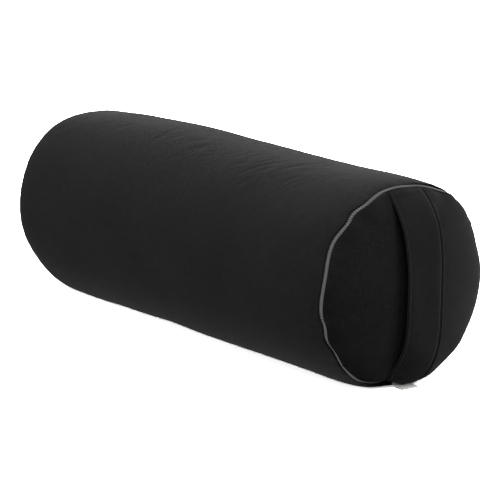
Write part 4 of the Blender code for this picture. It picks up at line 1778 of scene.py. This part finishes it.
@dataclass
class InnerBag:
    """The closed calico bag inside the cover, with its batting and its foam core."""

    shape: CoverShape
    columns: int = 160
    liner: float = 1.0 * MM
    clear: float = 7.0 * MM  # from the cover's outer face in to the bag
    setback: float = 8 * MM  # from the cover's end seams back to the bag's
    mouth: float = 101.5 * MM  # the bag's radius at its front seam
    straight: float = 22 * MM  # how far back from the zip it stays at that radius
    dome_rim: float = 97 * MM
    dome_depth: float = 17 * MM
    core: float = 78 * MM  # radius of the foam
    batting_rolls: int = 5
    # The heights that the layers rest at, and how softly they turn into the flat
    bag_floor: float = 2.2 * MM
    batting_floor: float = 3.6 * MM
    dome_floor: float = 4 * MM
    floor_ease: float = 2.4 * MM

    def tube(self, inset: float) -> tuple[Array, Array, Array]:
        """The bag's tube, or a layer inside it, as places, radii and heights."""
        shape = self.shape
        front = shape.datum.zip_x - self.setback
        back = shape.datum.back_x + self.setback
        xs = spaced_towards(back, front, 1.5 * MM, 9 * MM, 60 * MM)
        radius, height = shape.section(xs)
        mouth = smooth_share(shape.datum.zip_x - xs, self.straight, self.straight + 20 * MM)
        radius = self.mouth + (radius - self.clear - self.mouth) * mouth
        return xs, radius - inset, height

    def revolved(self, xs: Array, radius: Array, height: Array, floor: float) -> ClothGrid:
        """Turns a profile into a sheet, which rests on what lies below it."""
        angle = around(self.columns)
        points = ring_points(xs[:, None], radius[:, None], height[:, None], angle)
        turns = np.append(angle, angle[0] + TURN) * self.shape.datum.radius
        cut = cut_grid(run_along(np.column_stack([xs, radius])), turns)
        return ClothGrid(points, cut).rested(floor, self.floor_ease)

    def creased(self, sheet: ClothGrid, depth: float, seed: float) -> ClothGrid:
        """Adds the small dents of soft filling."""
        x, y, z = np.moveaxis(sheet.points, -1, 0)
        return sheet.lifted(depth * (soft_noise(x / 0.03, y / 0.03, z / 0.03, seed=seed) - 0.5))

    def dome(self, side: int, inset: float, edge_out: float) -> ClothGrid:
        """An end of the bag, or of the pad behind it."""
        datum = self.shape.datum
        end = DomedEnd(
            datum.zip_x if side > 0 else datum.back_x, side, datum.end_z,
            self.dome_rim - inset, self.dome_depth - inset, *FULL_DOME,
        )
        first = end.radius_at(edge_out)
        radii = first * np.cos(np.linspace(0, math.pi / 2, 30))
        radii[-1] = 0
        xs = end.seam_x + side * end.out(radii)
        rim = side * (datum.zip_x - self.setback + 0.3 * MM)
        xs = np.concatenate([[rim], xs])
        radii = np.concatenate([[first + 2 * MM], radii])
        if side < 0:
            xs, radii = xs[::-1], radii[::-1]
        height = np.full_like(xs, datum.end_z)
        return self.revolved(xs, radii, height, self.dome_floor + inset)

    def build_bag(self, finishes: Finishes) -> list[Object]:
        """Makes the calico tube and its two ends."""
        xs, radius, height = self.tube(0)
        tube = self.creased(self.revolved(xs, radius, height, self.bag_floor), 0.7 * MM, 91)
        pieces = [link_piece("liner_tube_calico", tube.shell("liner_tube", self.liner), finishes.calico)]
        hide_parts("liner_tube_panel")
        for side, node in ((1, "liner_front_panel"), (-1, "liner_back_panel")):
            sheet = self.creased(self.dome(side, 0, 1 * MM), 1.1 * MM, 95 + side)
            name = node.replace("panel", "calico")
            piece = link_piece(name, sheet.shell(name, self.liner), finishes.calico)
            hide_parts(node)
            pieces.append(piece)
        return pieces

    def build_filling(self, finishes: Finishes) -> list[Object]:
        """Makes the rolled batting, the pad behind each end and the foam core."""
        datum = self.shape.datum
        xs, radius, height = self.tube(self.liner + 0.6 * MM)
        outer = self.creased(self.revolved(xs, radius, height, self.batting_floor), 0.8 * MM, 111)
        chain, cuts = list(outer.points), list(outer.cut)
        for roll in range(1, 2 * self.batting_rolls):
            share = roll / (2 * self.batting_rolls)
            dent = (2.5 if roll % 2 else 0) * MM
            core_row = self.core_row(xs[-1] - dent)
            chain.append(outer.points[-1] * (1 - share) + core_row * share - (dent, 0, 0))
            cuts.append(outer.cut[-1])
        for x in np.linspace(xs[-1], xs[0], 12):
            chain.append(self.core_row(x))
            cuts.append(outer.cut[-1])
        wrap = link_piece("batting_roll", chain_mesh("batting_roll", chain, cuts), finishes.batting)
        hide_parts("batting_wrap")
        pieces = [wrap]
        for side, node in ((1, "front_batting_pad"), (-1, "back_batting_pad")):
            sheet = self.creased(self.dome(side, self.liner + 2 * MM, 2 * MM), 1.0 * MM, 121 + side)
            name = node.replace("_pad", "_cushion")
            pad = link_piece(name, sheet.shell(name, 6 * MM), finishes.batting)
            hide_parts(node)
            pieces.append(pad)
        ease = 3 * MM
        ends = np.array([0, self.core - ease, self.core - 0.3 * ease, self.core])
        steps = np.array([0, 0, 0.3 * ease, ease])
        core_xs = np.concatenate([xs[0] + steps, xs[-1] - steps[::-1]])
        core_radii = np.concatenate([ends, ends[::-1]])
        core = self.revolved(core_xs, core_radii, np.full_like(core_xs, datum.tube_z), 0.0)
        solid = link_piece(
            "foam_core_cut", chain_mesh("foam_core_cut", list(core.points), list(core.cut)), finishes.foam
        )
        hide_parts("foam_core")
        return pieces + [solid]

    def core_row(self, x: float) -> Array:
        """One ring of the batting's inner face, round the foam core."""
        return ring_points(x, self.core + 0.3 * MM, self.shape.datum.tube_z, around(self.columns))

    def build(self, finishes: Finishes) -> list[Object]:
        """Makes everything inside the cover."""
        pieces = self.build_bag(finishes) + self.build_filling(finishes)
        for piece in pieces:
            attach(piece, "cover")
        return pieces


@dataclass
class SeamTag:
    """A bare folded ribbon, sewn in at the bottom of the end and lying on the floor."""

    datum: Datum
    width: float = 22 * MM
    length: float = 17.5 * MM
    seam_height: float = 3.6 * MM
    layer: float = 0.35 * MM
    turn: float = math.radians(-2)
    floor: float = 0.3 * MM
    drop: float = 9 * MM  # how far out it reaches before it lies flat
    # Each layer's waves: their height, and how far they turn, in radians to a metre
    lower_wave: tuple[float, float] = (0.15 * MM, 260)
    upper_wave: tuple[float, float] = (0.3 * MM, 180)

    def build(self, finishes: Finishes) -> Object:
        """Makes the ribbon as one strip folded back on itself."""
        top, low = self.floor + 3 * self.layer, self.floor + self.layer / 2
        fold = (top - low) / 2
        run = self.length - fold
        places = np.linspace(0, run, 16)
        middle = [(x, low + self.lower_wave[0] * math.sin(x * self.lower_wave[1])) for x in places]
        middle += [
            (run + fold * math.sin(a), low + fold - fold * math.cos(a))
            for a in np.linspace(0, math.pi, 7)[1:-1]
        ]
        middle += [
            (x, top + self.upper_wave[0] * math.sin(x * self.upper_wave[1])) for x in places[::-1]
        ]
        line = np.array(middle)
        line[:, 1] += self.seam_height * (1 - smooth_share(line[:, 0], 0, self.drop))
        ahead = unit(np.gradient(line, axis=0))
        beside = np.stack([-ahead[:, 1], ahead[:, 0]], axis=1) * self.layer / 2
        across = np.linspace(-self.width / 2, self.width / 2, 9)
        rows, cuts = [], []
        for place, off, travelled in zip(line, beside, run_along(line)):
            near = [(place[0] + off[0], y, place[1] + off[1]) for y in across]
            far = [(place[0] - off[0], y, place[1] - off[1]) for y in across[::-1]]
            rows.append(near + far)
            cuts.append([(travelled, y) for y in [*across, *across[::-1], across[0]]])
        mesh = swept_mesh("seam_tag", np.array(rows), np.array(cuts))
        start = self.datum.zip_x
        mesh.transform(Matrix.Translation((start, 0, 0)) @ Matrix.Rotation(self.turn, 4, "Z"))
        piece = link_piece("seam_tag_ribbon", mesh, finishes.ribbon)
        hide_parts("sewn_tag")
        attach(piece, "end_flap")
        return piece


@dataclass
class Studio:
    """A plain pale floor, soft lights and the camera."""

    camera_place: tuple[float, float, float] = (2.3121, -1.71572, 0.76279)
    camera_heading: float = math.radians(143.13)  # from +X towards +Y
    camera_tilt: float = math.radians(-13.08)
    lens_mm: float = 185.7
    sensor_mm: float = 36.0
    floor_size: float = 12.0
    floor_tone: str = "#858585"  # how much light it throws back on the cloth
    floor_roughness: float = 0.9
    floor_white: float = 6.0  # how pale it is to the camera alone
    floor_glow: float = 0.3
    ambient: float = 0.23  # the white room's strength as light
    # Each lamp's name, place, aim, width and height, and power
    lamps: tuple[tuple, ...] = (
        ("end_softbox", (1.2, -0.3, 1.8), (0.1, 0, 0.1), (1.4, 1.2), 17),
        ("near_end_softbox", (1.0, 0.25, 1.0), (0.33, 0, 0.12), (0.5, 0.5), 8),
        ("back_softbox", (0.1, 2.3, 1.3), (0, 0, 0.1), (2.2, 1.0), 33),
        ("rim_softbox", (-1.5, 2.2, 0.5), (0, 0, 0.15), (2.6, 0.5), 20),
        ("side_softbox", (-0.8, -1.2, 1.8), (-0.1, 0, 0.1), (2.0, 0.8), 4),
        ("low_side_softbox", (-0.9, -2.2, 0.35), (0, 0, 0.1), (2.2, 0.6), 34),
    )

    @staticmethod
    def stand(thing: Object, place: tuple[float, float, float], ahead: Vector) -> None:
        """Puts the camera or a lamp in its place and turns it the way it faces."""
        thing.location = place
        thing.rotation_mode = "QUATERNION"
        thing.rotation_quaternion = ahead.to_track_quat("-Z", "Y")

    def build_camera(self) -> None:
        """Places the camera where the photograph was taken from."""
        data = bpy.data.cameras.new("camera")
        data.sensor_width = self.sensor_mm
        data.lens = self.lens_mm
        level = math.cos(self.camera_tilt)
        ahead = Vector((
            math.cos(self.camera_heading) * level,
            math.sin(self.camera_heading) * level,
            math.sin(self.camera_tilt),
        ))
        camera = add_object("camera", data)
        self.stand(camera, self.camera_place, ahead)
        bpy.context.scene.camera = camera

    def build_floor(self) -> None:
        """A wide pale floor, which the camera sees almost white, with its shadows."""
        mesh = bpy.data.meshes.new("floor")
        half = self.floor_size / 2
        square = [(-half, -half, 0), (half, -half, 0), (half, half, 0), (-half, half, 0)]
        mesh.from_pydata(square, [], [(0, 1, 2, 3)])
        made, tree = new_surface("painted_studio_floor")
        shader = tree.nodes["Principled BSDF"]
        shader.inputs["Base Color"].default_value = hex_linear(self.floor_tone)
        shader.inputs["Roughness"].default_value = self.floor_roughness
        glow = add_node(tree, "ShaderNodeEmission", inputs={"Strength": self.floor_glow})
        white = add_node(tree, "ShaderNodeBsdfDiffuse", inputs={"Color": (*(self.floor_white,) * 3, 1)})
        bright = add_node(tree, "ShaderNodeAddShader", inputs={0: white.outputs[0], 1: glow.outputs[0]})
        path = add_node(tree, "ShaderNodeLightPath")
        both = add_node(
            tree, "ShaderNodeMixShader",
            inputs={0: path.outputs["Is Camera Ray"], 1: shader.outputs[0], 2: bright.outputs[0]},
        )
        tree.links.new(both.outputs[0], tree.nodes["Material Output"].inputs[0])
        mesh.materials.append(made)
        floor = add_object("floor", mesh)

    def build_world(self) -> None:
        """White where it is seen, and dimmer as light."""
        world = bpy.data.worlds.new("white_room")
        world.use_nodes = True
        bpy.context.scene.world = world
        tree = world.node_tree
        sky = tree.nodes["Background"]
        sky.inputs[0].default_value = (1, 1, 1, 1)
        seen = add_node(tree, "ShaderNodeLightPath").outputs["Is Camera Ray"]
        strength = add_node(
            tree, "ShaderNodeMath", {"operation": "MULTIPLY_ADD"},
            {0: seen, 1: 1 - self.ambient, 2: self.ambient},
        )
        tree.links.new(strength.outputs[0], sky.inputs[1])

    def build_lamp(self, name: str, place: tuple, aim: tuple, size: tuple, watts: float) -> None:
        """Adds one softbox.

        Args:
            name: the lamp's name.
            place: where it stands.
            aim: the point that it faces.
            size: its width and height.
            watts: its power.
        """
        data = bpy.data.lights.new(name, "AREA")
        data.shape = "RECTANGLE"
        data.size, data.size_y = size
        data.energy = watts
        lamp = add_object(name, data)
        lamp.visible_camera = False
        self.stand(lamp, place, Vector(aim) - Vector(place))

    def build(self) -> None:
        """Sets up the whole studio."""
        self.build_floor()
        self.build_world()
        for name, place, aim, size, watts in self.lamps:
            self.build_lamp(name, place, aim, size, watts)
        self.build_camera()
        bpy.context.scene.view_settings.view_transform = "Standard"


def main() -> None:
    """Builds every part of the bolster in order."""
    logging.basicConfig(level=logging.INFO, format="%(name)s: %(message)s")
    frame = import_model()
    datum = Datum.from_frame(frame)
    finishes = Finishes()
    repeater = PathRepeater()
    shape = CoverShape(datum)

    body = BodyCover(shape)
    front = EndPanel(shape, shape.front, shape.groove, Gathers(52, 0.6 * MM, 13 * MM, 5.0))
    back = EndPanel(shape, shape.back, 0.4 * MM, Gathers(40, 0.7 * MM, 18 * MM, 23.0))
    made = [part.build(finishes) for part in (body, front, back)]
    made += CurvedZip(shape, repeater).build(finishes)
    made += ZipSlider(datum).build(finishes)
    tacks = EndTacks(datum, repeater)
    made += [tacks.build(node, finishes) for node in ("zip_end_tack_upper", "zip_end_tack_lower")]
    made += CarryStrap(shape).build(repeater, finishes)
    made.append(SeamTag(datum).build(finishes))
    bag = InnerBag(shape).build(finishes)
    for piece in made + bag:
        LOG.info("%s: %d faces", piece.name, len(piece.data.polygons))
    Studio().build()


if __name__ == "__main__":
    main()
